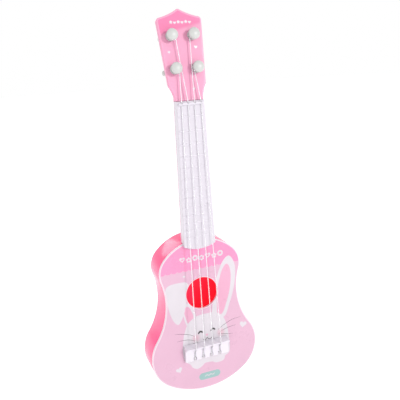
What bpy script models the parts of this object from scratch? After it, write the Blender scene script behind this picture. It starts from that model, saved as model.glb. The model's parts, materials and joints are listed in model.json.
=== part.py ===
"""Toy guitar with four nylon strings: a hollow plastic body, a neck with a tilted head, and four tuners.

The model stands upright, neck up, with its face towards -Y. The origin is on the flat back of the
body, level with the centre of the sound hole. Lengths are in metres.

Nearly every piece is modelled in a face frame, whose axes are x to the right, y up the neck and z out
of the face. The body's face frame has its origin at the sound hole's centre. The head's face frame
starts at the end of the fingerboard and leans back with the head.
"""

import math

import bmesh
import bpy
from mathutils import Matrix, Vector

# Clearance between two pieces that touch on the real toy.
SEAM = 0.0003
# How far a cutter runs past the face it opens, and how deep a joined piece is sunk into its partner.
OVERRUN = 0.002
# Edges sharper than this are shaded as edges, and a plate's rim is what turns by more than this.
EDGE_ANGLE = math.radians(33)

# Body outline, seen from the front. Heights are measured from the sound hole's centre.
UPPER_BOUT_WIDTH = 0.079
WAIST_WIDTH = 0.071
LOWER_BOUT_WIDTH = 0.1065
UPPER_BOUT_HEIGHT = 0.024
LOWER_BOUT_HEIGHT = -0.060
UPPER_BOUT_RADIUS = 0.0215
LOWER_BOUT_RADIUS = 0.0345
BODY_TOP = 0.0532
BODY_BOTTOM = -0.1003
BODY_DEPTH = 0.031
ARC_STEP = math.radians(9)

# Shell and front panel.
SHELL_WALL = 0.0018
BACK_EDGE_RADIUS = 0.004
BACK_EDGE_STEPS = 3
PANEL_THICKNESS = 0.002
PANEL_EDGE_RADIUS = 0.0006
LIP_THICKNESS = 0.0012
LIP_DEPTH = 0.003
SOUND_HOLE_RADIUS = 0.0155

# Screws, and the bosses and posts that they join.
SCREW_HEAD_RADIUS = 0.0029
SCREW_HEAD_HEIGHT = 0.0018
# A screw head's crown: shares of its radius and height.
SCREW_CROWN = ((0.0, 1.0), (0.75, 0.9), (0.95, 0.6), (1.0, 0.3), (1.0, 0.0))
SCREW_SHANK_RADIUS = 0.0013
SCREW_LENGTH = 0.014
SCREW_ENTRY = 0.006
BOSS_WALL = 0.0014
POST_WALL = 0.0016
POST_LENGTH = 0.008
BOSS_INSET = 0.0098
UPPER_BOSS_ANGLE = math.radians(45)
LOWER_BOSS_ANGLES = (math.radians(80), math.radians(152))
NECK_BOSS_HEIGHTS = (0.028, 0.041)

# Neck, fingerboard and strings.
NUT_HEIGHT = 0.177
NUT_WIDTH = 0.025
BOARD_END_HEIGHT = 0.0486
BOARD_END_WIDTH = 0.030
BOARD_END_BULGE = 0.0035
BOARD_END_STEPS = 8
BOARD_OUT = 0.004
BOARD_TOP_WALL = 0.0031
BOARD_SKIRT = 0.004
BOARD_SIDE_WALL = 0.002
BOARD_EDGE_RADIUS = 0.0007
NECK_DEPTH = 0.0075
HEEL_DEPTH = 0.0135
HEEL_LENGTH = 0.020
# How the heel thins away from the body: shares of its length, and the depth there.
HEEL_STATIONS = ((0.25, 0.0125), (0.6, 0.0098), (1.0, 0.0082))
# Where the neck's back runs into the head, as shares of VOLUTE_LENGTH, and how much narrower it is there.
VOLUTE_START = -0.11
VOLUTE_MIDDLE = 0.33
VOLUTE_MIDDLE_DEPTH = 0.0062
VOLUTE_MIDDLE_WIDTH = 0.0238
VOLUTE_END_WIDTH = 0.0167
TONGUE_WIDTH = 0.018
TONGUE_END = 0.020
TONGUE_BACK = 0.015
FRET_COUNT = 13
FRET_WIDTH = 0.0009
FRET_RISE = 0.0003
NUT_RISE = 0.0009
NUT_LENGTH = 0.0022
STRING_RADIUS = 0.0004
STRING_COUNT = 4
NUT_STRING_PITCH = 0.0058
SADDLE_STRING_PITCH = 0.0084

# Bridge.
BRIDGE_WIDTH = 0.044
BRIDGE_TOP = -0.0495
BRIDGE_LENGTH = 0.0165
SADDLE_LENGTH = 0.003
SADDLE_RISE = 0.0082
SADDLE_EDGE_RADIUS = 0.0012
BLOCK_RISE = 0.0050
BLOCK_FOOT_RISE = 0.0034
BLOCK_EDGE_RADIUS = 0.0010
STRING_CLIMB = 0.0036
CREST_STEPS = 4
GROOVE_WIDTH = 0.0018
GROOVE_DEPTH = 0.0013
POCKET_RADIUS = 0.0017
POCKET_LENGTH = 0.0042
KNOT_RADIUS = 0.0011
# A knot's shape along its string: shares of its radius from its middle, and its radius there.
KNOT_SHAPE = ((-1.0, 0.45), (-0.7, 0.8), (0.0, 1.0), (0.7, 0.8))
PIN_RADIUS = 0.0015
PIN_LENGTH = 0.0035
PIN_SPACING = 0.030

# Head.
HEAD_TILT = math.radians(11.4)
HEAD_OUT = 0.0012
HEAD_THICKNESS = 0.004
HEAD_KINK_HEIGHT = 0.0135
HEAD_KINK_WIDTH = 0.0335
HEAD_SHOULDER_HEIGHT = 0.0692
HEAD_SHOULDER_WIDTH = 0.0402
HEAD_CORNER_RADIUS = 0.0032
HEAD_APEX_HEIGHT = 0.0768
HEAD_APEX_RADIUS = 0.0022
HEAD_SHOULDER_SAG = 0.0011
HEAD_FLARE_SAG = 0.0008
HEAD_EDGE_RADIUS = 0.0006
VOLUTE_LENGTH = 0.019

# Tuners. Heights run up the head's face, and rises and drops are measured out of and behind it.
PEG_SPACING = 0.0192
PEG_HEIGHTS = (0.0267, 0.0541)
PEG_COLLAR_RADIUS = 0.0042
PEG_COLLAR_RISE = 0.0010
PEG_WAIST_RADIUS = 0.0025
PEG_CAP_RADIUS = 0.0049
PEG_CAP_BAND = 0.0013
PEG_CAP_DOME = 0.0024
PEG_DOME_STEPS = 6
PEG_SHAFT_RADIUS = 0.0021
KEY_HUB_RADIUS = 0.0042
KEY_HUB_LENGTH = 0.0032
KEY_BLADE_LENGTH = 0.0105
KEY_NECK_WIDTH = 0.0066
KEY_WIDTH = 0.0140
KEY_THICKNESS = 0.0044
KEY_SOCKET_DEPTH = 0.0065
KEY_EDGE_RADIUS = 0.001
# The blade's oval starts this far round from the head's side, where the stem runs into it.
KEY_OVAL_START = math.radians(35)
KEY_OVAL_STEPS = 10
KEY_TURNS = (math.radians(2), math.radians(-16), math.radians(24), math.radians(8))
WINDING_TURNS = 2.25
WINDING_PITCH = 0.00115
WINDING_STEPS = 12

COLLECTION_NAME = "toy_guitar"
SHELL_PINK = (1.0, 0.27, 0.42)
PANEL_PINK = (0.90, 0.56, 0.74)
HEAD_PINK = (1.0, 0.42, 0.64)
WHITE = (0.87, 0.85, 0.90)
PEG_WHITE = (0.78, 0.80, 0.77)
NYLON = (0.88, 0.87, 0.90)
STEEL = (0.62, 0.62, 0.63)


def clear_scene():
    for found in list(bpy.data.objects):
        bpy.data.objects.remove(found, do_unlink=True)


def new_collection(name):
    made = bpy.data.collections.new(name)
    bpy.context.scene.collection.children.link(made)
    return made


def material(name, color, roughness, metallic=0.0):
    made = bpy.data.materials.new(name)
    made.use_nodes = True
    shader = made.node_tree.nodes["Principled BSDF"]
    shader.inputs["Base Color"].default_value = (*color, 1.0)
    shader.inputs["Roughness"].default_value = roughness
    shader.inputs["Metallic"].default_value = metallic
    return made


class Workshop:
    """Places pieces and cutters in their collections, in the two face frames."""

    def __init__(self):
        self.parts = new_collection(COLLECTION_NAME)
        self.cutters = new_collection("cutters")
        self.body = self.frame("body_frame", (0.0, -BODY_DEPTH, 0.0), 0.0)
        nut = (0.0, -BODY_DEPTH - HEAD_OUT, NUT_HEIGHT)
        self.head = self.frame("head_frame", nut, HEAD_TILT)

    def frame(self, name, place, tilt):
        made = bpy.data.objects.new(name, None)
        self.parts.objects.link(made)
        made.location = place
        made.rotation_euler = (math.radians(90) - tilt, 0.0, 0.0)
        return made

    def piece(self, name, mesh, finish, parent, place=(0.0, 0.0, 0.0)):
        made = bpy.data.objects.new(name, mesh)
        self.parts.objects.link(made)
        made.parent = parent
        made.location = place
        if not mesh.materials:
            mesh.materials.append(finish)
        mesh.shade_smooth()
        mesh.set_sharp_from_angle(angle=EDGE_ANGLE)
        return made

    def helper(self, name, mesh, parent, place=(0.0, 0.0, 0.0)):
        made = bpy.data.objects.new(name, mesh)
        self.cutters.objects.link(made)
        made.parent = parent
        made.location = place
        made.hide_render = True
        made.display_type = "WIRE"
        return made


def combine(target, helper, operation):
    modifier = target.modifiers.new(f"{operation.lower()} {helper.name}", "BOOLEAN")
    modifier.operation = operation
    modifier.solver = "EXACT"
    modifier.object = helper
    return modifier


def cut(target, helper):
    combine(target, helper, "DIFFERENCE")


def join(target, helper):
    combine(target, helper, "UNION")


# Outlines: lists of (x, y) points, anticlockwise.


def arc(centre, radius, start, end, step=ARC_STEP):
    """Points of an arc. Angles are measured from up, towards +x."""
    count = max(2, math.ceil(abs(end - start) / step) + 1)
    angles = [start + (end - start) * i / (count - 1) for i in range(count)]
    return [(centre[0] + radius * math.sin(a), centre[1] + radius * math.cos(a)) for a in angles]


def without_repeats(points, least=1e-5):
    kept = [points[0]]
    for point in points[1:]:
        if math.dist(point, kept[-1]) > least:
            kept.append(point)
    if math.dist(kept[0], kept[-1]) <= least:
        kept.pop()
    return kept


def mirrored(right_half):
    """The closed outline of a right half that runs from the top of the centre line to its bottom."""
    left_half = [(-x, y) for x, y in reversed(right_half)]
    return without_repeats(right_half + left_half)[::-1]


def waist_circle(upper, lower):
    """The circle outside both bouts that touches them and the waist's width: (centre, radius)."""
    edge = WAIST_WIDTH / 2
    up_base = UPPER_BOUT_RADIUS**2 - (edge - upper[0]) ** 2
    up_gain = 2 * (UPPER_BOUT_RADIUS + upper[0] - edge)
    low_base = LOWER_BOUT_RADIUS**2 - (edge - lower[0]) ** 2
    low_gain = 2 * (LOWER_BOUT_RADIUS + lower[0] - edge)
    least, most = 0.0, 2.0
    for _ in range(60):
        radius = (least + most) / 2
        span = math.sqrt(up_base + up_gain * radius) + math.sqrt(low_base + low_gain * radius)
        if span < upper[1] - lower[1]:
            least = radius
        else:
            most = radius
    return (edge + radius, upper[1] - math.sqrt(up_base + up_gain * radius)), radius


def end_circle(bout, bout_radius, end_height):
    """The circle on the centre line that touches a bout from outside and passes through an end."""
    reach = abs(end_height - bout[1])
    radius = (bout[0] ** 2 + reach**2 - bout_radius**2) / (2 * (reach - bout_radius))
    inward = -math.copysign(radius, end_height - bout[1])
    return (0.0, end_height + inward), radius


def bearing(start, end):
    return math.atan2(end[0] - start[0], end[1] - start[1])


def bout_centres():
    upper = (UPPER_BOUT_WIDTH / 2 - UPPER_BOUT_RADIUS, UPPER_BOUT_HEIGHT)
    lower = (LOWER_BOUT_WIDTH / 2 - LOWER_BOUT_RADIUS, LOWER_BOUT_HEIGHT)
    return upper, lower


def body_outline(inset=0.0):
    """The body's outline, moved inwards by inset: two bouts, the waist and the two ends, all tangent."""
    upper, lower = bout_centres()
    waist, waist_radius = waist_circle(upper, lower)
    top, top_radius = end_circle(upper, UPPER_BOUT_RADIUS, BODY_TOP)
    bottom, bottom_radius = end_circle(lower, LOWER_BOUT_RADIUS, BODY_BOTTOM)
    right = arc(top, top_radius - inset, 0.0, bearing(top, upper))
    right += arc(upper, UPPER_BOUT_RADIUS - inset, bearing(top, upper), bearing(upper, waist))
    hollow = (bearing(waist, upper) + math.tau, bearing(waist, lower) + math.tau)
    right += arc(waist, waist_radius + inset, *hollow)
    right += arc(lower, LOWER_BOUT_RADIUS - inset, bearing(lower, waist), bearing(bottom, lower))
    right += arc(bottom, bottom_radius - inset, bearing(bottom, lower), math.pi)
    return mirrored(right)


def bowed(start, end, sag, count=10):
    """Points from start to end on an arc that sags to the right of the way it runs."""
    chord = Vector(end) - Vector(start)
    side = Vector((chord.y, -chord.x)).normalized()
    steps = [i / count for i in range(count + 1)]
    return [tuple(Vector(start) + chord * t + side * sag * 4 * t * (1 - t)) for t in steps]


def rounded_corner(before, corner, after, radius, count=5):
    """The corner of an outline as an arc."""
    back = (Vector(before) - Vector(corner)).normalized()
    ahead = (Vector(after) - Vector(corner)).normalized()
    half = back.angle(ahead) / 2
    reach = radius / math.tan(half)
    middle = Vector(corner) + (back + ahead).normalized() * radius / math.sin(half)
    first = Vector(corner) + back * reach - middle
    last = Vector(corner) + ahead * reach - middle
    turn = first.angle_signed(last)
    spokes = [first.copy() for _ in range(count + 1)]
    for i, spoke in enumerate(spokes):
        spoke.rotate(Matrix.Rotation(-turn * i / count, 2))
    return [tuple(middle + spoke) for spoke in spokes]


def head_outline():
    """The head, from the fingerboard's end up: a short flare, long sides, and hollow shoulders."""
    shoulder = (HEAD_SHOULDER_WIDTH / 2, HEAD_SHOULDER_HEIGHT)
    kink = (HEAD_KINK_WIDTH / 2, HEAD_KINK_HEIGHT)
    apex = (0.0, HEAD_APEX_HEIGHT)
    slope = bowed(apex, shoulder, HEAD_SHOULDER_SAG)
    tip = rounded_corner((-slope[1][0], slope[1][1]), apex, slope[1], HEAD_APEX_RADIUS, 4)
    right = tip[len(tip) // 2 :] + slope[2:-1]
    right += rounded_corner(slope[-2], shoulder, kink, HEAD_CORNER_RADIUS)
    right += bowed(kink, (NUT_WIDTH / 2, 0.0), HEAD_FLARE_SAG, 6)
    return mirrored(right)


def board_width(height):
    share = (NUT_HEIGHT - height) / (NUT_HEIGHT - BOARD_END_HEIGHT)
    return NUT_WIDTH + (BOARD_END_WIDTH - NUT_WIDTH) * share


def board_outline():
    """The fingerboard: it widens towards the body and ends in a shallow bulge."""
    low = (board_width(BOARD_END_HEIGHT) / 2, BOARD_END_HEIGHT)
    end = bowed(low, (-low[0], low[1]), -BOARD_END_BULGE, 2 * BOARD_END_STEPS)
    return mirrored([(NUT_WIDTH / 2, NUT_HEIGHT)] + end[: BOARD_END_STEPS + 1])


def tapered_outline(low, high, margin):
    """A strip along the neck, narrower than the fingerboard by margin on each side."""
    return mirrored([(board_width(height) / 2 - margin, height) for height in (high, low)])


def bridge_profile():
    """The bridge from its side: height along the neck, then how far it stands out of the face."""
    top, foot = BRIDGE_TOP, BRIDGE_TOP - BRIDGE_LENGTH
    ridge = top - SADDLE_LENGTH
    corners = [
        ((top, SADDLE_RISE), SADDLE_EDGE_RADIUS),
        ((ridge, SADDLE_RISE), SADDLE_EDGE_RADIUS),
        ((ridge, BLOCK_RISE), BLOCK_EDGE_RADIUS),
        ((foot, BLOCK_FOOT_RISE), BLOCK_EDGE_RADIUS),
    ]
    line = [(foot, SEAM), (top, SEAM)] + [corner for corner, _radius in corners] + [(foot, SEAM)]
    profile = line[:2]
    for i, (corner, radius) in enumerate(corners):
        profile += rounded_corner(line[i + 1], corner, line[i + 3], radius, 3)
    return profile


# Meshes.


def mesh_of(name, work):
    """The mesh of a bmesh, with its faces turned outwards."""
    bmesh.ops.recalc_face_normals(work, faces=work.faces)
    made = bpy.data.meshes.new(name)
    work.to_mesh(made)
    work.free()
    return made


def plate(name, outline, low, high):
    """A flat outline in its frame's x, y plane as a solid from z = low to z = high."""
    flat = bpy.data.curves.new(name, "CURVE")
    flat.dimensions = "2D"
    flat.fill_mode = "BOTH"
    flat.extrude = (high - low) / 2
    line = flat.splines.new("POLY")
    line.points.add(len(outline) - 1)
    for point, (x, y) in zip(line.points, outline):
        point.co = (x, y, 0.0, 1.0)
    line.use_cyclic_u = True
    guide = bpy.data.objects.new(name, flat)
    bpy.context.scene.collection.objects.link(guide)
    graph = bpy.context.evaluated_depsgraph_get()
    drawn = bpy.data.meshes.new_from_object(guide.evaluated_get(graph))
    bpy.data.objects.remove(guide)
    bpy.data.curves.remove(flat)
    work = bmesh.new()
    work.from_mesh(drawn)
    bpy.data.meshes.remove(drawn)
    bmesh.ops.translate(work, verts=work.verts, vec=(0.0, 0.0, (high + low) / 2))
    bmesh.ops.remove_doubles(work, verts=work.verts, dist=1e-6)
    return mesh_of(name, work)


def rounded_rim(mesh, height, radius, segments=1):
    """Bevels the edges of a plate that lie at one height, in that many steps."""
    work = bmesh.new()
    work.from_mesh(mesh)
    rim = []
    for edge in work.edges:
        level = all(abs(vert.co.z - height) < 1e-6 for vert in edge.verts)
        turning = len(edge.link_faces) == 2 and edge.calc_face_angle(0.0) > EDGE_ANGLE
        if level and turning:
            rim.append(edge)
    bmesh.ops.bevel(
        work,
        geom=rim,
        offset=radius,
        segments=segments,
        profile=0.5,
        affect="EDGES",
        clamp_overlap=False,
    )
    bmesh.ops.recalc_face_normals(work, faces=work.faces)
    work.to_mesh(mesh)
    work.free()
    return mesh


def rod(name, radius, low, high, sides=20):
    """A cylinder along z."""
    work = bmesh.new()
    bmesh.ops.create_cone(
        work,
        cap_ends=True,
        segments=sides,
        radius1=radius,
        radius2=radius,
        depth=high - low,
        matrix=Matrix.Translation((0.0, 0.0, (low + high) / 2)),
    )
    return mesh_of(name, work)


def block(name, low, high):
    """A box between two corners."""
    size = [b - a for a, b in zip(low, high)]
    middle = [(a + b) / 2 for a, b in zip(low, high)]
    work = bmesh.new()
    place = Matrix.Translation(middle) @ Matrix.Diagonal((*size, 1.0))
    bmesh.ops.create_cube(work, size=1.0, matrix=place)
    return mesh_of(name, work)


def scattered(name, meshes):
    """Several meshes that don't touch, in one mesh."""
    work = bmesh.new()
    for mesh in meshes:
        work.from_mesh(mesh)
        bpy.data.meshes.remove(mesh)
    return mesh_of(name, work)


def shifted(mesh, x, y, z=0.0):
    mesh.transform(Matrix.Translation((x, y, z)))
    return mesh


def profile_line(name, points):
    """An open profile in the x, z plane, for a Screw modifier."""
    work = bmesh.new()
    verts = [work.verts.new((x, 0.0, z)) for x, z in points]
    for first, second in zip(verts, verts[1:]):
        work.edges.new((first, second))
    made = bpy.data.meshes.new(name)
    work.to_mesh(made)
    work.free()
    return made


def turn(piece, steps):
    """Turns a piece's profile around its own z axis."""
    modifier = piece.modifiers.new("turned", "SCREW")
    modifier.axis = "Z"
    modifier.steps = steps
    modifier.render_steps = steps
    modifier.use_merge_vertices = True
    modifier.merge_threshold = 0.00001
    modifier.use_smooth_shade = True


def tube(work_shop, name, points, radius, finish, parent, place=(0.0, 0.0, 0.0), swells=None):
    """A round wire through points. swells gives the radius of single points, in shares of radius."""
    line = bpy.data.curves.new(name, "CURVE")
    line.dimensions = "3D"
    line.bevel_depth = radius
    line.bevel_resolution = 2
    line.use_fill_caps = True
    spline = line.splines.new("POLY")
    spline.points.add(len(points) - 1)
    for i, (point, co) in enumerate(zip(spline.points, points)):
        point.co = (*co, 1.0)
        point.radius = (swells or {}).get(i, 1.0)
    line.materials.append(finish)
    made = bpy.data.objects.new(name, line)
    work_shop.parts.objects.link(made)
    made.parent = parent
    made.location = place
    return made


def neck_section(height, half_width, drop, depth, count=12):
    """Half an ellipse behind the fingerboard, flat towards the face."""
    angles = [math.pi * i / count for i in range(count + 1)]
    return [(half_width * math.cos(a), height, drop - depth * math.sin(a)) for a in angles]


def loft(name, sections):
    """A solid through sections that have the same number of points."""
    work = bmesh.new()
    rings = [[work.verts.new(point) for point in section] for section in sections]
    for lower, upper in zip(rings, rings[1:]):
        for i in range(len(lower)):
            j = (i + 1) % len(lower)
            work.faces.new((lower[i], lower[j], upper[j], upper[i]))
    work.faces.new(rings[0][::-1])
    work.faces.new(rings[-1])
    return mesh_of(name, work)


# Places that several pieces share.


def boss_places():
    """The six body screws, as (name, x, y)."""
    upper, lower = bout_centres()
    reach = UPPER_BOUT_RADIUS - BOSS_INSET
    spots = [("upper", upper, reach, UPPER_BOSS_ANGLE)]
    for label, angle in zip(("lower", "tail"), LOWER_BOSS_ANGLES):
        spots.append((label, lower, LOWER_BOUT_RADIUS - BOSS_INSET, angle))
    found = []
    for label, centre, radius, angle in spots:
        x = centre[0] + radius * math.sin(angle)
        y = centre[1] + radius * math.cos(angle)
        found += [(f"{label}_left", -x, y), (f"{label}_right", x, y)]
    return found


def screw_seats():
    """Each screw's name, place and seat: the height in the body's frame that its head rests on."""
    post_end = -PANEL_THICKNESS - POST_LENGTH
    seats = [(f"body_screw_{name}", x, y, post_end) for name, x, y in boss_places()]
    for name, height in zip(("lower", "upper"), NECK_BOSS_HEIGHTS):
        seats.append((f"neck_screw_{name}", 0.0, height, -TONGUE_BACK))
    return [(name, x, y, end, end + SCREW_ENTRY - SCREW_LENGTH) for name, x, y, end in seats]


def string_side(index, pitch):
    """The sideways place of one string, counted from the left."""
    return (index - (STRING_COUNT - 1) / 2) * pitch


def peg_places():
    """Each tuner's name, string number, and place on the head, in string order from the left."""
    low, high = PEG_HEIGHTS
    half = PEG_SPACING / 2
    return [
        ("lower_left", 0, -half, low),
        ("upper_left", 1, -half, high),
        ("upper_right", 2, half, high),
        ("lower_right", 3, half, low),
    ]


def winding_radius():
    return PEG_WAIST_RADIUS + SEAM + STRING_RADIUS


def winding_start():
    return PEG_COLLAR_RISE + SEAM + STRING_RADIUS


def cap_base():
    """How far out of the head's face a tuner's cap begins: just above its winding."""
    return winding_start() + WINDING_PITCH * WINDING_TURNS + STRING_RADIUS + 2 * SEAM


def head_to_body(x, y, z):
    """A point of the head's face frame, in the body's face frame."""
    lean, rise = math.sin(HEAD_TILT), math.cos(HEAD_TILT)
    return (x, NUT_HEIGHT + y * rise + z * lean, HEAD_OUT - y * lean + z * rise)


# Pieces.


def make_back_shell(shop, pink):
    back, front = -BODY_DEPTH, -PANEL_THICKNESS - SEAM
    mesh = plate("back_shell", body_outline(), back, front)
    rounded_rim(mesh, back, BACK_EDGE_RADIUS, BACK_EDGE_STEPS)
    shell = shop.piece("back_shell", mesh, pink, shop.body)
    hollow = plate("shell_hollow", body_outline(SHELL_WALL), back + SHELL_WALL, front + OVERRUN)
    cut(shell, shop.helper("shell_hollow", hollow, shop.body))
    recess_radius = SCREW_HEAD_RADIUS + SEAM
    for name, x, y, end, seat in screw_seats():
        top = end - SEAM
        boss = rod(f"{name}_boss", recess_radius + BOSS_WALL, back + SHELL_WALL / 2, top)
        join(shell, shop.helper(f"{name}_boss", boss, shop.body, (x, y, 0.0)))
        recess = rod(f"{name}_recess", recess_radius, back - OVERRUN, seat - SEAM)
        hole = rod(f"{name}_hole", SCREW_SHANK_RADIUS + SEAM, seat - OVERRUN, top + OVERRUN, 12)
        cut(shell, shop.helper(f"{name}_recess", recess, shop.body, (x, y, 0.0)))
        cut(shell, shop.helper(f"{name}_hole", hole, shop.body, (x, y, 0.0)))
    half = TONGUE_WIDTH / 2 + SEAM
    low_corner = (-half, BODY_TOP - 4 * SHELL_WALL, -TONGUE_BACK - SEAM)
    notch = block("neck_notch", low_corner, (half, BODY_TOP + OVERRUN, front + OVERRUN))
    cut(shell, shop.helper("neck_notch", notch, shop.body))


def make_front_panel(shop, pink):
    under = -PANEL_THICKNESS
    mesh = plate("front_panel", body_outline(), under, 0.0)
    panel = shop.piece("front_panel", rounded_rim(mesh, 0.0, PANEL_EDGE_RADIUS), pink, shop.body)
    lip_inset = SHELL_WALL + SEAM
    lip = plate("panel_lip", body_outline(lip_inset), under - LIP_DEPTH, under + PANEL_THICKNESS / 2)
    ring = shop.helper("panel_lip", lip, shop.body)
    inner = body_outline(lip_inset + LIP_THICKNESS)
    core = plate("lip_hollow", inner, under - LIP_DEPTH - OVERRUN, under)
    cut(ring, shop.helper("lip_hollow", core, shop.body))
    half = TONGUE_WIDTH / 2 + SEAM
    gap = block(
        "lip_gap",
        (-half, BODY_TOP - 6 * SHELL_WALL, under - LIP_DEPTH - OVERRUN),
        (half, BODY_TOP, under),
    )
    cut(ring, shop.helper("lip_gap", gap, shop.body))
    join(panel, ring)
    shank = SCREW_SHANK_RADIUS + SEAM
    for name, x, y in boss_places():
        post = rod(f"{name}_post", shank + POST_WALL, under - POST_LENGTH, under + PANEL_THICKNESS / 2)
        join(panel, shop.helper(f"{name}_post", post, shop.body, (x, y, 0.0)))
        depth = SCREW_ENTRY + SEAM
        pilot = rod(f"{name}_pilot", shank, under - POST_LENGTH - OVERRUN, under - POST_LENGTH + depth, 12)
        cut(panel, shop.helper(f"{name}_pilot", pilot, shop.body, (x, y, 0.0)))
    hole = rod("sound_hole", SOUND_HOLE_RADIUS, under - OVERRUN, OVERRUN, 48)
    cut(panel, shop.helper("sound_hole", hole, shop.body))
    for side in (-1, 1):
        pin = rod(f"pin_hole_{side}", PIN_RADIUS + SEAM, under - OVERRUN, OVERRUN, 16)
        place = (side * PIN_SPACING / 2, BRIDGE_TOP - BRIDGE_LENGTH / 2, 0.0)
        cut(panel, shop.helper(f"pin_hole_{side}", pin, shop.body, place))


def make_neck(shop, pink):
    """Neck and head in one moulding: a core under the fingerboard, a rounded back, and a tongue."""
    skirt = -BOARD_SKIRT
    drop = skirt - SEAM
    low = BODY_TOP - 4 * SHELL_WALL
    start = NUT_HEIGHT + VOLUTE_START * VOLUTE_LENGTH
    high = NUT_HEIGHT + SEAM + OVERRUN
    core_top = BOARD_OUT - BOARD_TOP_WALL - SEAM
    core = tapered_outline(low, high, BOARD_SIDE_WALL + SEAM)
    neck = shop.piece("neck", plate("neck", core, drop - OVERRUN, core_top), pink, shop.body)
    head_back = HEAD_OUT - HEAD_THICKNESS - VOLUTE_LENGTH * math.tan(HEAD_TILT)
    middle = NUT_HEIGHT + VOLUTE_MIDDLE * VOLUTE_LENGTH
    sections = [neck_section(low, board_width(low) / 2, drop, HEEL_DEPTH)]
    for share, depth in HEEL_STATIONS:
        height = BODY_TOP + share * HEEL_LENGTH
        sections.append(neck_section(height, board_width(height) / 2, drop, depth))
    sections += [
        neck_section(start, NUT_WIDTH / 2, drop, NECK_DEPTH),
        neck_section(middle, VOLUTE_MIDDLE_WIDTH / 2, drop, VOLUTE_MIDDLE_DEPTH),
        neck_section(NUT_HEIGHT + VOLUTE_LENGTH, VOLUTE_END_WIDTH / 2, drop, drop - head_back + SEAM),
    ]
    join(neck, shop.helper("neck_back", loft("neck_back", sections), shop.body))
    trim = plate("neck_trim", body_outline(-SEAM), -BODY_DEPTH - OVERRUN, core_top + OVERRUN)
    cut(neck, shop.helper("neck_trim", trim, shop.body))
    half = TONGUE_WIDTH / 2
    tongue = block(
        "neck_tongue",
        (-half, TONGUE_END, -TONGUE_BACK),
        (half, BODY_TOP + HEEL_LENGTH / 3, -PANEL_THICKNESS - SEAM),
    )
    join(neck, shop.helper("neck_tongue", tongue, shop.body))
    for name, x, y, end, _seat in screw_seats():
        if end == -TONGUE_BACK:
            deep = end + SCREW_ENTRY + SEAM
            pilot = rod(f"{name}_pilot", SCREW_SHANK_RADIUS + SEAM, end - OVERRUN, deep, 12)
            cut(neck, shop.helper(f"{name}_pilot", pilot, shop.body, (x, y, 0.0)))
    head = plate("head_plate", head_outline(), -HEAD_THICKNESS, 0.0)
    rounded_rim(head, 0.0, HEAD_EDGE_RADIUS)
    rounded_rim(head, -HEAD_THICKNESS, HEAD_EDGE_RADIUS)
    plate_helper = shop.helper("head_plate", head, shop.head)
    reach = NUT_WIDTH
    end = block("head_end", (-reach, NUT_HEIGHT - reach, -reach), (reach, NUT_HEIGHT + SEAM, reach))
    cut(plate_helper, shop.helper("head_end", end, shop.body))
    join(neck, plate_helper)
    for name, _string, x, y in peg_places():
        hole = rod(f"{name}_peg_hole", PEG_SHAFT_RADIUS + SEAM, -HEAD_THICKNESS - OVERRUN, OVERRUN, 16)
        cut(neck, shop.helper(f"{name}_peg_hole", hole, shop.head, (x, y, 0.0)))


def make_fingerboard(shop, white):
    mesh = plate("fingerboard", board_outline(), -BOARD_SKIRT, BOARD_OUT)
    rounded_rim(mesh, BOARD_OUT, BOARD_EDGE_RADIUS)
    board = shop.piece("fingerboard", mesh, white, shop.body)
    under = BOARD_OUT - BOARD_TOP_WALL
    channel = tapered_outline(BODY_TOP - OVERRUN, NUT_HEIGHT + OVERRUN, BOARD_SIDE_WALL)
    hollow = plate("board_channel", channel, -BOARD_SKIRT - OVERRUN, under)
    cut(board, shop.helper("board_channel", hollow, shop.body))
    seat = plate("board_seat", body_outline(-SEAM), -BOARD_SKIRT - OVERRUN, SEAM)
    cut(board, shop.helper("board_seat", seat, shop.body))
    scale = NUT_HEIGHT - BRIDGE_TOP
    bars = []
    for fret in range(1, FRET_COUNT + 1):
        height = NUT_HEIGHT - scale * (1 - 2 ** (-fret / 12))
        half = board_width(height) / 2 - BOARD_EDGE_RADIUS - SEAM
        low = (-half, height - FRET_WIDTH / 2, BOARD_OUT - FRET_RISE)
        bars.append(block(f"fret_{fret}", low, (half, height + FRET_WIDTH / 2, BOARD_OUT + FRET_RISE)))
    join(board, shop.helper("frets", scattered("frets", bars), shop.body))
    half = NUT_WIDTH / 2 - BOARD_EDGE_RADIUS - SEAM
    nut_end = NUT_HEIGHT - BOARD_EDGE_RADIUS - SEAM
    low = (-half, nut_end - NUT_LENGTH, BOARD_OUT - FRET_RISE)
    nut = block("nut_ridge", low, (half, nut_end, BOARD_OUT + NUT_RISE + SEAM + STRING_RADIUS))
    join(board, shop.helper("nut_ridge", nut, shop.body))
    slots = []
    clear = STRING_RADIUS + SEAM
    for index in range(STRING_COUNT):
        x = string_side(index, NUT_STRING_PITCH)
        low = (x - clear, NUT_HEIGHT - NUT_LENGTH - OVERRUN, BOARD_OUT + NUT_RISE - clear)
        high = (x + clear, NUT_HEIGHT + OVERRUN, BOARD_OUT + 2 * OVERRUN)
        slots.append(block(f"slot_{index}", low, high))
    cut(board, shop.helper("nut_slots", scattered("nut_slots", slots), shop.body))


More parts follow.
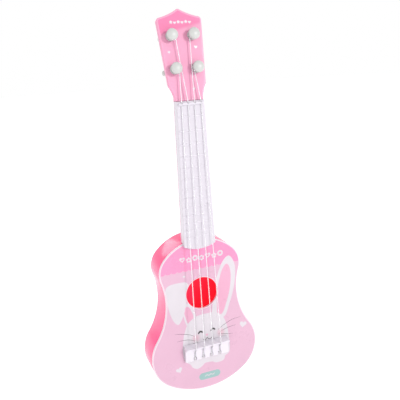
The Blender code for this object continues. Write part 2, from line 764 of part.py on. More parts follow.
def make_bridge(shop, white):
    mesh = plate("bridge", bridge_profile(), -BRIDGE_WIDTH / 2, BRIDGE_WIDTH / 2)
    mesh.transform(Matrix(((0, 0, 1, 0), (1, 0, 0, 0), (0, 1, 0, 0), (0, 0, 0, 1))))
    bridge = shop.piece("bridge", mesh, white, shop.body)
    top = BRIDGE_TOP - SADDLE_LENGTH
    foot = BRIDGE_TOP - BRIDGE_LENGTH
    grooves, pockets = [], []
    for index in range(STRING_COUNT):
        x = string_side(index, SADDLE_STRING_PITCH)
        half = GROOVE_WIDTH / 2
        lean = math.atan2(BLOCK_RISE - BLOCK_FOOT_RISE, top - foot)
        bar = block(f"groove_{index}", (-half, foot - top - OVERRUN, -GROOVE_DEPTH), (half, 0.0, OVERRUN))
        bar.transform(Matrix.Rotation(lean, 4, "X"))
        grooves.append(shifted(bar, x, top, BLOCK_RISE))
        low = (x - POCKET_RADIUS, foot - OVERRUN, -OVERRUN)
        pockets.append(block(f"pocket_{index}", low, (x + POCKET_RADIUS, foot + POCKET_LENGTH, BLOCK_RISE)))
    cut(bridge, shop.helper("bridge_grooves", scattered("bridge_grooves", grooves), shop.body))
    cut(bridge, shop.helper("bridge_pockets", scattered("bridge_pockets", pockets), shop.body))
    for side in (-1, 1):
        pin = rod(f"bridge_pin_{side}", PIN_RADIUS, -PIN_LENGTH, SEAM * 5, 16)
        place = (side * PIN_SPACING / 2, BRIDGE_TOP - BRIDGE_LENGTH / 2, 0.0)
        join(bridge, shop.helper(f"bridge_pin_{side}", pin, shop.body, place))


def string_route(index):
    """A string from its knot in the bridge, over saddle and nut, to its tuner's winding."""
    _name, _string, peg_x, peg_y = peg_places()[index]
    side = string_side(index, SADDLE_STRING_PITCH)
    nut_side = string_side(index, NUT_STRING_PITCH)
    foot = BRIDGE_TOP - BRIDGE_LENGTH
    ridge = BRIDGE_TOP - SADDLE_LENGTH
    above = SEAM + STRING_RADIUS
    slope = (BLOCK_RISE - BLOCK_FOOT_RISE) / (ridge - foot)
    groove_out = BLOCK_FOOT_RISE - GROOVE_DEPTH + above
    knot = foot + POCKET_LENGTH - KNOT_RADIUS - SEAM
    knot_out = groove_out + slope * POCKET_LENGTH
    points = [(side, knot + share * KNOT_RADIUS, knot_out) for share, _size in KNOT_SHAPE]
    points.append((side, knot + KNOT_RADIUS, knot_out))
    leave = (ridge - STRING_CLIMB, groove_out + slope * (ridge - STRING_CLIMB - foot) + SEAM)
    points.append((side, *leave))
    crest = (ridge + SADDLE_EDGE_RADIUS, SADDLE_RISE - SADDLE_EDGE_RADIUS)
    bend = SADDLE_EDGE_RADIUS + above
    climb = math.atan2(crest[1] - leave[1], crest[0] - leave[0])
    touch = math.acos(bend / math.dist(leave, crest)) - climb
    for step in range(CREST_STEPS + 1):
        lean = (1 - step / CREST_STEPS) * (math.pi / 2 - touch)
        points.append((side, crest[0] - bend * math.sin(lean), crest[1] + bend * math.cos(lean)))
    points.append((side, BRIDGE_TOP - SADDLE_EDGE_RADIUS, SADDLE_RISE + above))
    nut_out = BOARD_OUT + NUT_RISE
    points.append((nut_side, NUT_HEIGHT - NUT_LENGTH, nut_out))
    points.append((nut_side, NUT_HEIGHT - FRET_RISE, nut_out))
    inner = -math.copysign(winding_radius(), peg_x)
    height = winding_start() + WINDING_PITCH * WINDING_TURNS / 2
    reach = winding_radius() + STRING_RADIUS + SEAM
    gap = math.sqrt(reach**2 - (winding_radius() - STRING_RADIUS) ** 2)
    end = Vector(head_to_body(peg_x + inner, peg_y, height))
    start = Vector(points[-1])
    points.append(tuple(end + (start - end).normalized() * gap))
    return points


def make_strings(shop, nylon):
    bead = KNOT_RADIUS / STRING_RADIUS
    swells = {i: size * bead for i, (_share, size) in enumerate(KNOT_SHAPE)}
    for index in range(STRING_COUNT):
        name = f"string_{index + 1}"
        tube(shop, name, string_route(index), STRING_RADIUS, nylon, shop.body, swells=swells)


def peg_profile():
    """A tuner's post from the top of its cap down its outer side to the end of its shaft."""
    dome_base = cap_base() + PEG_CAP_BAND
    angles = [math.pi / 2 * i / PEG_DOME_STEPS for i in range(PEG_DOME_STEPS + 1)]
    dome = [(PEG_CAP_RADIUS * math.sin(a), dome_base + PEG_CAP_DOME * math.cos(a)) for a in angles]
    end = -HEAD_THICKNESS - SEAM - KEY_SOCKET_DEPTH + SEAM
    return dome + [
        (PEG_CAP_RADIUS, cap_base() + SEAM),
        (PEG_CAP_RADIUS - SEAM, cap_base()),
        (PEG_WAIST_RADIUS, cap_base() - SEAM),
        (PEG_WAIST_RADIUS, PEG_COLLAR_RISE),
        (PEG_COLLAR_RADIUS, PEG_COLLAR_RISE - SEAM),
        (PEG_COLLAR_RADIUS, SEAM),
        (PEG_SHAFT_RADIUS, SEAM),
        (PEG_SHAFT_RADIUS, end),
        (0.0, end),
    ]


def key_outline():
    """The flat blade of a tuner's key, seen along its thickness: a stem that opens into an oval."""
    top = -HEAD_THICKNESS - SEAM - KEY_HUB_LENGTH / 2
    end = -HEAD_THICKNESS - SEAM - KEY_HUB_LENGTH - KEY_BLADE_LENGTH
    half = KEY_WIDTH / 2
    oval = (top + end) / 2 - KEY_HUB_LENGTH / 2
    bulge = abs(end - oval)
    right = [(KEY_NECK_WIDTH / 2, top), (KEY_NECK_WIDTH / 2, end + 2 * bulge - OVERRUN / 2)]
    span = math.pi - KEY_OVAL_START
    angles = [KEY_OVAL_START + span * i / KEY_OVAL_STEPS for i in range(KEY_OVAL_STEPS + 1)]
    right += [(half * math.sin(a), oval + bulge * math.cos(a)) for a in angles]
    return mirrored(right)


def make_tuners(shop, white, nylon):
    back = -HEAD_THICKNESS - SEAM
    for (name, _string, x, y), angle in zip(peg_places(), KEY_TURNS):
        axis = bpy.data.objects.new(f"{name}_tuner_axis", None)
        shop.parts.objects.link(axis)
        axis.parent = shop.head
        axis.location = (x, y, 0.0)
        post = shop.piece(f"peg_{name}", profile_line("peg", peg_profile()), white, axis)
        turn(post, 20)
        mesh = plate(f"key_{name}", key_outline(), -KEY_THICKNESS / 2, KEY_THICKNESS / 2)
        rounded_rim(mesh, KEY_THICKNESS / 2, KEY_EDGE_RADIUS)
        rounded_rim(mesh, -KEY_THICKNESS / 2, KEY_EDGE_RADIUS)
        mesh.transform(Matrix.Rotation(math.radians(90), 4, "X"))
        key = shop.piece(f"key_{name}", mesh, white, axis)
        key.rotation_euler = (0.0, 0.0, angle)
        hub = rod(f"hub_{name}", KEY_HUB_RADIUS, back - KEY_HUB_LENGTH, back)
        join(key, shop.helper(f"hub_{name}", hub, axis))
        socket = rod(f"socket_{name}", PEG_SHAFT_RADIUS + SEAM, back - KEY_SOCKET_DEPTH, back + OVERRUN, 16)
        cut(key, shop.helper(f"socket_{name}", socket, axis))
        steps = round(WINDING_STEPS * WINDING_TURNS)
        mirror = -math.copysign(1.0, x)
        coil = []
        for i in range(steps + 1):
            a = mirror * math.tau * i / WINDING_STEPS
            z = winding_start() + WINDING_PITCH * i / WINDING_STEPS
            coil.append((mirror * winding_radius() * math.cos(a), winding_radius() * math.sin(a), z))
        tube(shop, f"winding_{name}", coil, STRING_RADIUS, nylon, axis)


def screw_profile():
    """A pan-head screw, head up, with the origin where its head rests."""
    return [(out * SCREW_HEAD_RADIUS, up * SCREW_HEAD_HEIGHT) for out, up in SCREW_CROWN] + [
        (SCREW_SHANK_RADIUS, 0.0),
        (SCREW_SHANK_RADIUS, -SCREW_LENGTH + 2 * SCREW_SHANK_RADIUS),
        (0.0, -SCREW_LENGTH),
    ]


def make_screws(shop, steel):
    profile = profile_line("screw", screw_profile())
    for name, x, y, _end, seat in screw_seats():
        screw = shop.piece(name, profile, steel, shop.body, (x, y, seat - 2 * SEAM))
        screw.rotation_euler = (math.pi, 0.0, 0.0)
        turn(screw, 14)


def main():
    clear_scene()
    shop = Workshop()
    make_back_shell(shop, material("shell_pink", SHELL_PINK, 0.25))
    make_front_panel(shop, material("panel_pink", PANEL_PINK, 0.3))
    make_neck(shop, material("head_pink", HEAD_PINK, 0.3))
    white = material("board_white", WHITE, 0.35)
    nylon = material("nylon", NYLON, 0.3)
    make_fingerboard(shop, white)
    make_bridge(shop, material("bridge_white", WHITE, 0.35))
    make_strings(shop, nylon)
    make_tuners(shop, material("peg_white", PEG_WHITE, 0.4), nylon)
    make_screws(shop, material("steel", STEEL, 0.3, 1.0))
    bpy.context.view_layer.update()


main()
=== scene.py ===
"""Looks of a small four-string toy guitar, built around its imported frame.

Every piece is modelled again at full smoothness in the place where the frame holds it. Two working
frames are used. The body's face frame has x to the right, y up the neck and z out of the face, with its
origin at the sound hole's centre. The head's face frame starts at the end of the fingerboard and leans
back with the head. Lengths are in metres.
"""

from __future__ import annotations

import json
import logging
import math
from dataclasses import dataclass, field
from enum import Enum
from typing import Callable, Iterable, Sequence

import bmesh
import bpy
import numpy as np
from mathutils import Matrix, Vector
from mathutils.geometry import delaunay_2d_cdt

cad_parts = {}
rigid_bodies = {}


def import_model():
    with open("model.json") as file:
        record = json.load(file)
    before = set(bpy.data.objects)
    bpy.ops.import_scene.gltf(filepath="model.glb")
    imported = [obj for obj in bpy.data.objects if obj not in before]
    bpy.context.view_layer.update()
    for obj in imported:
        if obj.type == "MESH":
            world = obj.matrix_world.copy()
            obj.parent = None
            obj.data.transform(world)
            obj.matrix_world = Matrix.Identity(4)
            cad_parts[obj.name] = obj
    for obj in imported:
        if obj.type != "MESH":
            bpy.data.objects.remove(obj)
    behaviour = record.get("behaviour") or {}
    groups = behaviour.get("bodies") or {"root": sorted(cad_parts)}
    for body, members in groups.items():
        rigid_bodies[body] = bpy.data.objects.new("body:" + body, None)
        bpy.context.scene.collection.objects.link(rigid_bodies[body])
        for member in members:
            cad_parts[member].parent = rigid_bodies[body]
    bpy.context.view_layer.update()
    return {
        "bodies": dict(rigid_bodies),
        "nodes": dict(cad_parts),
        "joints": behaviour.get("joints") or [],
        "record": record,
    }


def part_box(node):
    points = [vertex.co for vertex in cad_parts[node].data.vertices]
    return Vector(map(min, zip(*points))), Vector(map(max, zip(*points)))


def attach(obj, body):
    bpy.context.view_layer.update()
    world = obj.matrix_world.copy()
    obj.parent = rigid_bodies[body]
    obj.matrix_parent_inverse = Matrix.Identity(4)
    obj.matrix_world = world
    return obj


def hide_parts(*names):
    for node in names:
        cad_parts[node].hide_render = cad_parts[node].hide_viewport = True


LOG = logging.getLogger("toy_guitar")

Point = tuple[float, float]
Loop = list[Point]
Color = tuple[float, float, float]
Place = tuple[float, float, float]

MM = 0.001
# The gap between two pieces that sit against each other.
SEAM = 0.0003
# How far a cutter passes what it cuts.
OVERRUN = 0.002
# How far from a sharp edge its supporting ring of points runs.
SUPPORT = 0.0003
# Edges that turn by more than this are shaded sharp.
EDGE_ANGLE = math.radians(32)
TINY = 1e-6
STRING_COUNT = 4
STRING_RADIUS = 0.0004
SADDLE_PITCH = 0.0084
NUT_PITCH = 0.0058
# A string's straight run longer than this gets points this far from its ends.
LONG_RUN = 0.01
RUN_END = 0.0006
TURN_STEPS = 36
FLOOR_GAP = 0.02
TUNERS = ("lower_left", "upper_left", "upper_right", "lower_right")
# A profile drawn in x, y and given a length along z, turned to lie along x or along the neck.
ALONG_X = Matrix(((0, 0, 1, 0), (1, 0, 0, 0), (0, 1, 0, 0), (0, 0, 0, 1)))
ALONG_Y = Matrix(((1, 0, 0, 0), (0, 0, -1, 0), (0, 1, 0, 0), (0, 0, 0, 1)))


class Way(Enum):
    """What a tool mesh does to the mesh that it meets."""

    CUT = "DIFFERENCE"
    ADD = "UNION"


class Body(Enum):
    """The moving bodies of the frame."""

    TOY = "body"
    LOWER_LEFT = "tuner_lower_left"
    UPPER_LEFT = "tuner_upper_left"
    UPPER_RIGHT = "tuner_upper_right"
    LOWER_RIGHT = "tuner_lower_right"


# Flat outlines. All run anticlockwise.


def arc(centre: Point, radius: float, start: float, end: float, step: float) -> Loop:
    """Points of an arc.

    Args:
        centre: The arc's centre.
        radius: Its radius.
        start: First angle, from up towards +x.
        end: Last angle.
        step: The largest angle between two points.

    Returns:
        The points from start to end.
    """
    count = max(2, math.ceil(abs(end - start) / step) + 1)
    angles = [start + (end - start) * i / (count - 1) for i in range(count)]
    return [(centre[0] + radius * math.sin(a), centre[1] + radius * math.cos(a)) for a in angles]


def quarter(steps: int) -> list[float]:
    """Angles that part a quarter turn into steps."""
    return [math.pi / 2 * i / steps for i in range(steps + 1)]


def string_side(index: int, pitch: float) -> float:
    """How far to the right of the centre line a string lies."""
    return (index - (STRING_COUNT - 1) / 2) * pitch


def bearing(start: Point, end: Point) -> float:
    """The angle of the way from start to end, from up towards +x."""
    return math.atan2(end[0] - start[0], end[1] - start[1])


def circle(centre: Point, radius: float, steps: int = 24) -> Loop:
    """A full circle, anticlockwise."""
    turns = [math.tau * i / steps for i in range(steps)]
    return [(centre[0] + radius * math.cos(a), centre[1] + radius * math.sin(a)) for a in turns]


def without_repeats(points: Loop) -> Loop:
    """The loop without points that repeat the one before.

    Args:
        points: A closed loop.

    Returns:
        The points that are left.
    """
    kept = [points[0]]
    for point in points[1:]:
        if math.dist(point, kept[-1]) > 10 * TINY:
            kept.append(point)
    if math.dist(kept[0], kept[-1]) <= 10 * TINY:
        kept.pop()
    return kept


def mirrored(right: Loop) -> Loop:
    """The closed outline of a right half that runs from the top of the centre line to its bottom."""
    return without_repeats(right + [(-x, y) for x, y in reversed(right)])[::-1]


def bow(start: Point, end: Point, sag: float, count: int) -> Loop:
    """Points on a shallow curve.

    Args:
        start: First point.
        end: Last point.
        sag: How far the middle stands off the chord, to the right of the way it runs.
        count: Number of steps.

    Returns:
        count + 1 points.
    """
    chord = Vector(end) - Vector(start)
    side = Vector((chord.y, -chord.x)).normalized()
    shares = [i / count for i in range(count + 1)]
    return [tuple(Vector(start) + chord * t + side * sag * 4 * t * (1 - t)) for t in shares]


def corner(before: Point, at: Point, after: Point, radius: float, count: int = 8) -> Loop:
    """A corner of an outline as an arc.

    Args:
        before: A point on the line into the corner.
        at: The sharp corner.
        after: A point on the line out of it.
        radius: The arc's radius.
        count: Number of steps.

    Returns:
        count + 1 points.
    """
    back = (Vector(before) - Vector(at)).normalized()
    ahead = (Vector(after) - Vector(at)).normalized()
    half = back.angle(ahead) / 2
    middle = Vector(at) + (back + ahead).normalized() * radius / math.sin(half)
    first = Vector(at) + back * radius / math.tan(half) - middle
    last = Vector(at) + ahead * radius / math.tan(half) - middle
    turn = first.angle_signed(last)
    spokes = [first.copy() for _ in range(count + 1)]
    for i, spoke in enumerate(spokes):
        spoke.rotate(Matrix.Rotation(-turn * i / count, 2))
    return [tuple(middle + spoke) for spoke in spokes]


def offset(loop: Loop, inset: float) -> Loop:
    """The loop moved inwards.

    Args:
        loop: An anticlockwise loop.
        inset: How far, or outwards where it is negative.

    Returns:
        As many points as the loop has.
    """
    points = np.array(loop)
    ahead = np.roll(points, -1, axis=0) - points
    ahead /= np.linalg.norm(ahead, axis=1)[:, None]
    inward = np.stack([-ahead[:, 1], ahead[:, 0]], axis=1)
    both = inward + np.roll(inward, 1, axis=0)
    both /= np.maximum((both * both).sum(1), 0.5)[:, None] / 2
    return [tuple(p) for p in points + both * inset]


def smooth(points: Loop, steps: int, closed: bool = True) -> Loop:
    """A smooth curve through a few points.

    Args:
        points: The points it passes through.
        steps: Steps between two of them.
        closed: Whether the curve closes on itself.

    Returns:
        The points of the curve.
    """
    count = len(points)
    found = []
    for i in range(count if closed else count - 1):
        near = [i - 1, i, i + 1, i + 2]
        near = [k % count if closed else min(max(k, 0), count - 1) for k in near]
        a, b, c, d = (np.array(points[k]) for k in near)
        for k in range(steps):
            t = k / steps
            spot = 2 * b + (c - a) * t + (2 * a - 5 * b + 4 * c - d) * t**2
            found.append(tuple((spot + (3 * b - a - 3 * c + d) * t**3) / 2))
    return found if closed else found + [points[-1]]


def stroke(points: Loop, width: float, taper: float = 0.5, steps: int = 6) -> Loop:
    """The outline of one pen stroke with round ends.

    Args:
        points: A few points on the stroke's middle line.
        width: Its width in the middle.
        taper: Share of the width that is left at the ends.
        steps: Steps between two points.

    Returns:
        A closed loop.
    """
    line = np.array(smooth(points, steps, closed=False))
    ways = np.gradient(line, axis=0)
    ways /= np.linalg.norm(ways, axis=1)[:, None]
    side = np.stack([ways[:, 1], -ways[:, 0]], axis=1)
    share = np.linspace(-1, 1, len(line))
    half = (width / 2 * (1 - (1 - taper) * share**2))[:, None]
    right, left = line + side * half, (line - side * half)[::-1]
    tip, tail = line[-1] + ways[-1] * half[-1], line[0] - ways[0] * half[0]
    return [tuple(p) for p in [*right, tip, *left, tail]]


def heart(centre: Point, size: float, turn: float = 0.0, steps: int = 28) -> Loop:
    """A heart that wide, turned anticlockwise about its centre.

    Args:
        centre: Its centre.
        size: Its width.
        turn: How far it is turned.
        steps: Number of points.

    Returns:
        A closed loop.
    """
    found = []
    for i in range(steps):
        a = math.tau * i / steps
        across = 16 * math.sin(a) ** 3
        up = 13 * math.cos(a) - 5 * math.cos(2 * a) - 2 * math.cos(3 * a) - math.cos(4 * a)
        x, y = across * size / 32, (up + 2) * size / 32
        c, s = math.cos(turn), math.sin(turn)
        found.append((centre[0] + x * c - y * s, centre[1] + x * s + y * c))
    return without_repeats(found[::-1])


def flower(centre: Point, size: float, petals: int = 5, depth: float = 0.22) -> Loop:
    """A flower of round petals, or a star where the depth is large.

    Args:
        centre: Its centre.
        size: Its width.
        petals: Number of petals.
        depth: How deep the gaps go, as a share of its radius.

    Returns:
        A closed loop.
    """
    found = []
    for i in range(petals * 8):
        a = math.tau * i / (petals * 8) + math.pi / 2
        reach = size / 2 * (1 - depth * (0.5 - 0.5 * math.cos(petals * (a - math.pi / 2))))
        found.append((centre[0] + reach * math.cos(a), centre[1] + reach * math.sin(a)))
    return found


def inside(loop: Loop, spots: np.ndarray) -> np.ndarray:
    """Which spots lie in a loop.

    Args:
        loop: A closed loop.
        spots: An array of points.

    Returns:
        True or False for each spot.
    """
    x, y = spots[:, 0], spots[:, 1]
    found = np.zeros(len(spots), bool)
    for (x0, y0), (x1, y1) in zip(loop, loop[1:] + loop[:1]):
        if y0 != y1:
            crosses = (y0 > y) != (y1 > y)
            found ^= crosses & (x < (x1 - x0) * (y - y0) / (y1 - y0) + x0)
    return found


# Meshes.


class Form:
    """A mesh in the making: rings of points, joined by walls and closed by caps."""

    def __init__(self) -> None:
        """Starts with no points."""
        self.work = bmesh.new()

    def ring(self, points: Iterable[Sequence[float]]) -> list[bmesh.types.BMVert]:
        """Adds the points of one ring."""
        return [self.work.verts.new(point) for point in points]

    def wall(self, first: list[bmesh.types.BMVert], second: list[bmesh.types.BMVert]) -> None:
        """Joins two rings of as many points.

        Args:
            first: One ring.
            second: The other.
        """
        for i, vert in enumerate(first):
            j = (i + 1) % len(first)
            self.work.faces.new((vert, first[j], second[j], second[i]))

    def cap(self, ring: list[bmesh.types.BMVert]) -> None:
        """Closes a ring with one face."""
        self.work.faces.new(ring)

    def stack(self, loops: Iterable[Iterable[Sequence[float]]]) -> Form:
        """Adds rings in order, with walls between them and a cap at each end.

        Args:
            loops: The points of each ring, as many in each.

        Returns:
            This form.
        """
        rings = [self.ring(loop) for loop in loops]
        for first, second in zip(rings, rings[1:]):
            self.wall(first, second)
        self.cap(rings[0])
        self.cap(rings[-1])
        return self

    def lathe(self, profile: Loop, steps: int, place: Matrix | None = None) -> Form:
        """Turns a profile of radius and height about z.

        Args:
            profile: Points from the top of the axis to its bottom, as (radius, height).
            steps: Number of steps in the full turn.
            place: Where the turned shape goes.

        Returns:
            This form.
        """
        place = place or Matrix()
        rings = []
        for radius, height in profile:
            count = 1 if radius < TINY else steps
            spots = [(*spot, height) for spot in circle((0.0, 0.0), radius, steps)[:count]]
            rings.append(self.ring(place @ Vector(spot) for spot in spots))
        for first, second in zip(rings, rings[1:]):
            if len(first) > 1 and len(second) > 1:
                self.wall(first, second)
                continue
            tip, rim = (first[0], second) if len(first) == 1 else (second[0], first)
            for i, vert in enumerate(rim):
                self.work.faces.new((tip, vert, rim[(i + 1) % steps]))
        for ring in (rings[0], rings[-1]):
            if len(ring) > 1:
                self.cap(ring)
        return self

    def tube(self, line: Sequence[Vector], radii: Sequence[float], sides: int) -> Form:
        """A round wire along a line.

        Args:
            line: The points of its middle line.
            radii: Its radius at each of them.
            sides: Number of sides.

        Returns:
            This form.
        """
        way = (line[1] - line[0]).normalized()
        side = way.orthogonal().normalized()
        loops = []
        for i, (spot, radius) in enumerate(zip(line, radii)):
            ahead = line[min(i + 1, len(line) - 1)] - line[max(i - 1, 0)]
            turned = way.rotation_difference(ahead.normalized())
            side = (turned @ side).normalized()
            way = ahead.normalized()
            other = way.cross(side)
            spokes = circle((0.0, 0.0), radius, sides)
            loops.append([spot + side * x + other * y for x, y in spokes])
        return self.stack(loops)

    def mesh(self, name: str, place: Matrix | None = None) -> bpy.types.Mesh:
        """The finished mesh.

        Args:
            name: Its name.
            place: A transform for all of its points.

        Returns:
            A mesh with its faces turned outwards.
        """
        if place is not None:
            self.work.transform(place)
        bmesh.ops.recalc_face_normals(self.work, faces=self.work.faces)
        made = bpy.data.meshes.new(name)
        self.work.to_mesh(made)
        self.work.free()
        return made


@dataclass(frozen=True)
class Rim:
    """How the two edges of a plate are rounded."""

    low: float = 0.0
    high: float = 0.0
    steps: int = 5
    support: float = 0.5

    def levels(self, low: float, high: float) -> list[tuple[float, float]]:
        """The plate's rings, from its low face to its high one.

        Args:
            low: Height of the low face.
            high: Height of the high face.

        Returns:
            (inset, height) of each ring.
        """
        angles = quarter(self.steps)
        rings = [(0.0, low)]
        if self.low > 0:
            edge = [(1 - math.sin(a), 1 - math.cos(a)) for a in angles]
            rings = [(self.low * (1 + self.support), low)]
            rings += [(self.low * x, low + self.low * z) for x, z in edge]
        if self.high > 0:
            edge = [(1 - math.cos(a), 1 - math.sin(a)) for a in angles]
            rings += [(self.high * x, high - self.high * z) for x, z in edge]
            return rings + [(self.high * (1 + self.support), high)]
        return rings + [(0.0, high)]


def plate(outline: Loop, low: float, high: float, rim: Rim = Rim()) -> Form:
    """A flat outline as a solid along z, with rounded edges.

    Args:
        outline: The anticlockwise outline in x, y.
        low: Height of its low face.
        high: Height of its high face.
        rim: How its edges are rounded.

    Returns:
        The form.
    """
    levels = rim.levels(low, high)
    return Form().stack([(x, y, z) for x, y in offset(outline, inset)] for inset, z in levels)


def block(low: Sequence[float], high: Sequence[float]) -> Form:
    """A box between two corners, for cutting and filling."""
    outline = [(low[0], low[1]), (high[0], low[1]), (high[0], high[1]), (low[0], high[1])]
    return plate(outline, low[2], high[2])


def rod(radius: float, low: float, high: float, place: Matrix, steps: int = 48) -> Form:
    """A round rod along z, for cutting and filling."""
    return Form().lathe([(radius, high), (radius, low)], steps, place)


def merged(name: str, forms: Iterable[Form], place: Matrix | None = None) -> bpy.types.Mesh:
    """Several forms that don't touch, as one mesh.

    Args:
        name: Its name.
        forms: The forms, which are used up.
        place: A transform for all of them.

    Returns:
        The mesh.
    """
    whole = Form()
    for form in forms:
        part = form.mesh(name)
        whole.work.from_mesh(part)
        bpy.data.meshes.remove(part)
    return whole.mesh(name, place)


def work_on(mesh: bpy.types.Mesh, tool: bpy.types.Mesh, way: Way) -> bpy.types.Mesh:
    """Cuts a tool out of a mesh, or adds it.

    Args:
        mesh: The mesh that is worked on, which is used up.
        tool: The tool, which is used up.
        way: Whether it cuts or adds.

    Returns:
        The new mesh.
    """
    name = mesh.name
    pair = [bpy.data.objects.new(part.name, part) for part in (mesh, tool)]
    for thing in pair:
        bpy.context.scene.collection.objects.link(thing)
    modifier = pair[0].modifiers.new("tool", "BOOLEAN")
    modifier.operation = way.value
    modifier.solver = "EXACT"
    modifier.object = pair[1]
    graph = bpy.context.evaluated_depsgraph_get()
    made = bpy.data.meshes.new_from_object(pair[0].evaluated_get(graph))
    for thing in pair:
        used = thing.data
        bpy.data.objects.remove(thing)
        bpy.data.meshes.remove(used)
    made.name = name
    return made


def shift(x: float, y: float, z: float = 0.0) -> Matrix:
    """A move."""
    return Matrix.Translation((x, y, z))


# Finishes.


class Wiring:
    """The nodes of one material."""

    def __init__(self, name: str) -> None:
        """Starts a material with its shader.

        Args:
            name: The material's name.
        """
        self.material = bpy.data.materials.new(name)
        self.material.use_nodes = True
        self.tree = self.material.node_tree
        self.shader = self.tree.nodes["Principled BSDF"]
        self.place = self.node("ShaderNodeTexCoord").outputs["Object"]

    def node(self, kind: str, **settings: object) -> bpy.types.Node:
        """A new node with its settings.

        Args:
            kind: Its type.
            settings: Its properties by name.

        Returns:
            The node.
        """
        made = self.tree.nodes.new(kind)
        for key, value in settings.items():
            setattr(made, key, value)
        return made

    def join(self, source: bpy.types.NodeSocket, target: bpy.types.NodeSocket) -> None:
        """Links an output to an input."""
        self.tree.links.new(source, target)

    def noise(self, size: float, detail: float, stretch: Place | None = None) -> bpy.types.NodeSocket:
        """A noise pattern in the piece's own space.

        Args:
            size: Size of its features in metres.
            detail: How many finer layers it has.
            stretch: Scale along each axis, where it isn't the same.

        Returns:
            Its value, about 0.5 on average.
        """
        pattern = self.node("ShaderNodeTexNoise")
        pattern.inputs["Scale"].default_value = 1 / size
        pattern.inputs["Detail"].default_value = detail
        source = self.place
        if stretch is not None:
            squeezed = self.node("ShaderNodeMapping")
            squeezed.inputs["Scale"].default_value = stretch
            squeezed.inputs["Rotation"].default_value = (0.3, 0.2, 0.5)
            self.join(source, squeezed.inputs["Vector"])
            source = squeezed.outputs["Vector"]
        self.join(source, pattern.inputs["Vector"])
        return pattern.outputs["Fac"]

    def spread(
        self, value: bpy.types.NodeSocket, low: float, high: float, start: float = 0.3, end: float = 0.7
    ) -> bpy.types.NodeSocket:
        """Maps a value from start..end to low..high, smoothly.

        Args:
            value: The value.
            low: What start becomes.
            high: What end becomes.
            start: The lowest value.
            end: The highest value.

        Returns:
            The mapped value.
        """
        made = self.node("ShaderNodeMapRange", interpolation_type="SMOOTHSTEP")
        sizes = {"From Min": start, "From Max": end, "To Min": low, "To Max": high}
        for key, size in sizes.items():
            made.inputs[key].default_value = size
        self.join(value, made.inputs["Value"])
        return made.outputs["Result"]

    def blend(
        self, share: bpy.types.NodeSocket, first: bpy.types.NodeSocket | Color, second: Color
    ) -> bpy.types.NodeSocket:
        """A colour between two others.

        Args:
            share: 0 for the first, 1 for the second.
            first: A colour or a socket that gives one.
            second: A colour.

        Returns:
            The mixed colour.
        """
        made = self.node("ShaderNodeMix", data_type="RGBA")
        self.join(share, made.inputs["Factor"])
        if isinstance(first, tuple):
            made.inputs[6].default_value = (*first, 1.0)
        else:
            self.join(first, made.inputs[6])
        made.inputs[7].default_value = (*second, 1.0)
        return made.outputs[2]


def shade(color: Color, factor: float) -> Color:
    """A colour made lighter or darker."""
    return tuple(min(1.0, channel * factor) for channel in color)


# Sizes of the patterns on moulded plastic.
CLOUD_SIZE = 0.022
SMUDGE_SIZE = 0.009
SCUFF_SIZE = 0.0011
FLOW_SIZE = 0.014
FLOW_HEIGHT = 0.0003
SCATTER_LENGTH = 0.0015

# Colours are scene-linear.
PALE_PINK: Color = (0.575, 0.350, 0.460)
RIM_PINK: Color = (0.660, 0.530, 0.600)
BAND_PINK: Color = (0.720, 0.225, 0.405)
EAR_PINK: Color = (0.630, 0.315, 0.440)
INK_WHITE: Color = (0.560, 0.520, 0.560)
INK_DARK: Color = (0.036, 0.028, 0.032)
INK_MINT: Color = (0.250, 0.400, 0.390)
HEAD_PINK: Color = (0.690, 0.300, 0.440)
HEAD_DEEP: Color = (0.690, 0.185, 0.345)
SHELL_PINK: Color = (0.900, 0.085, 0.240)
# Painted shade: the tub's inside, a darker, redder copy of the shell's pink where shade and bounced light
# fall.
PAINTED_SHADE_INSIDE_PINK: Color = (0.850, 0.055, 0.150)
BOARD_WHITE: Color = (0.580, 0.545, 0.600)
BRIDGE_WHITE: Color = (0.640, 0.605, 0.665)
PEG_WHITE: Color = (0.480, 0.488, 0.475)
NYLON_WHITE: Color = (0.900, 0.890, 0.920)
BLUSH: Color = (0.610, 0.340, 0.420)
# Painted light: the red glow of the tub's inside, which stands in for light bounced within it.
PAINTED_GLOW_RED: Color = (0.850, 0.012, 0.025)


@dataclass(frozen=True)
class Fade:
    """A second colour that comes in along a direction."""

    color: Color
    way: Place
    start: float
    end: float


@dataclass(frozen=True)
class Spot:
    """A soft round spot of another colour."""

    color: Color
    centre: Place
    radius: float
    strength: float


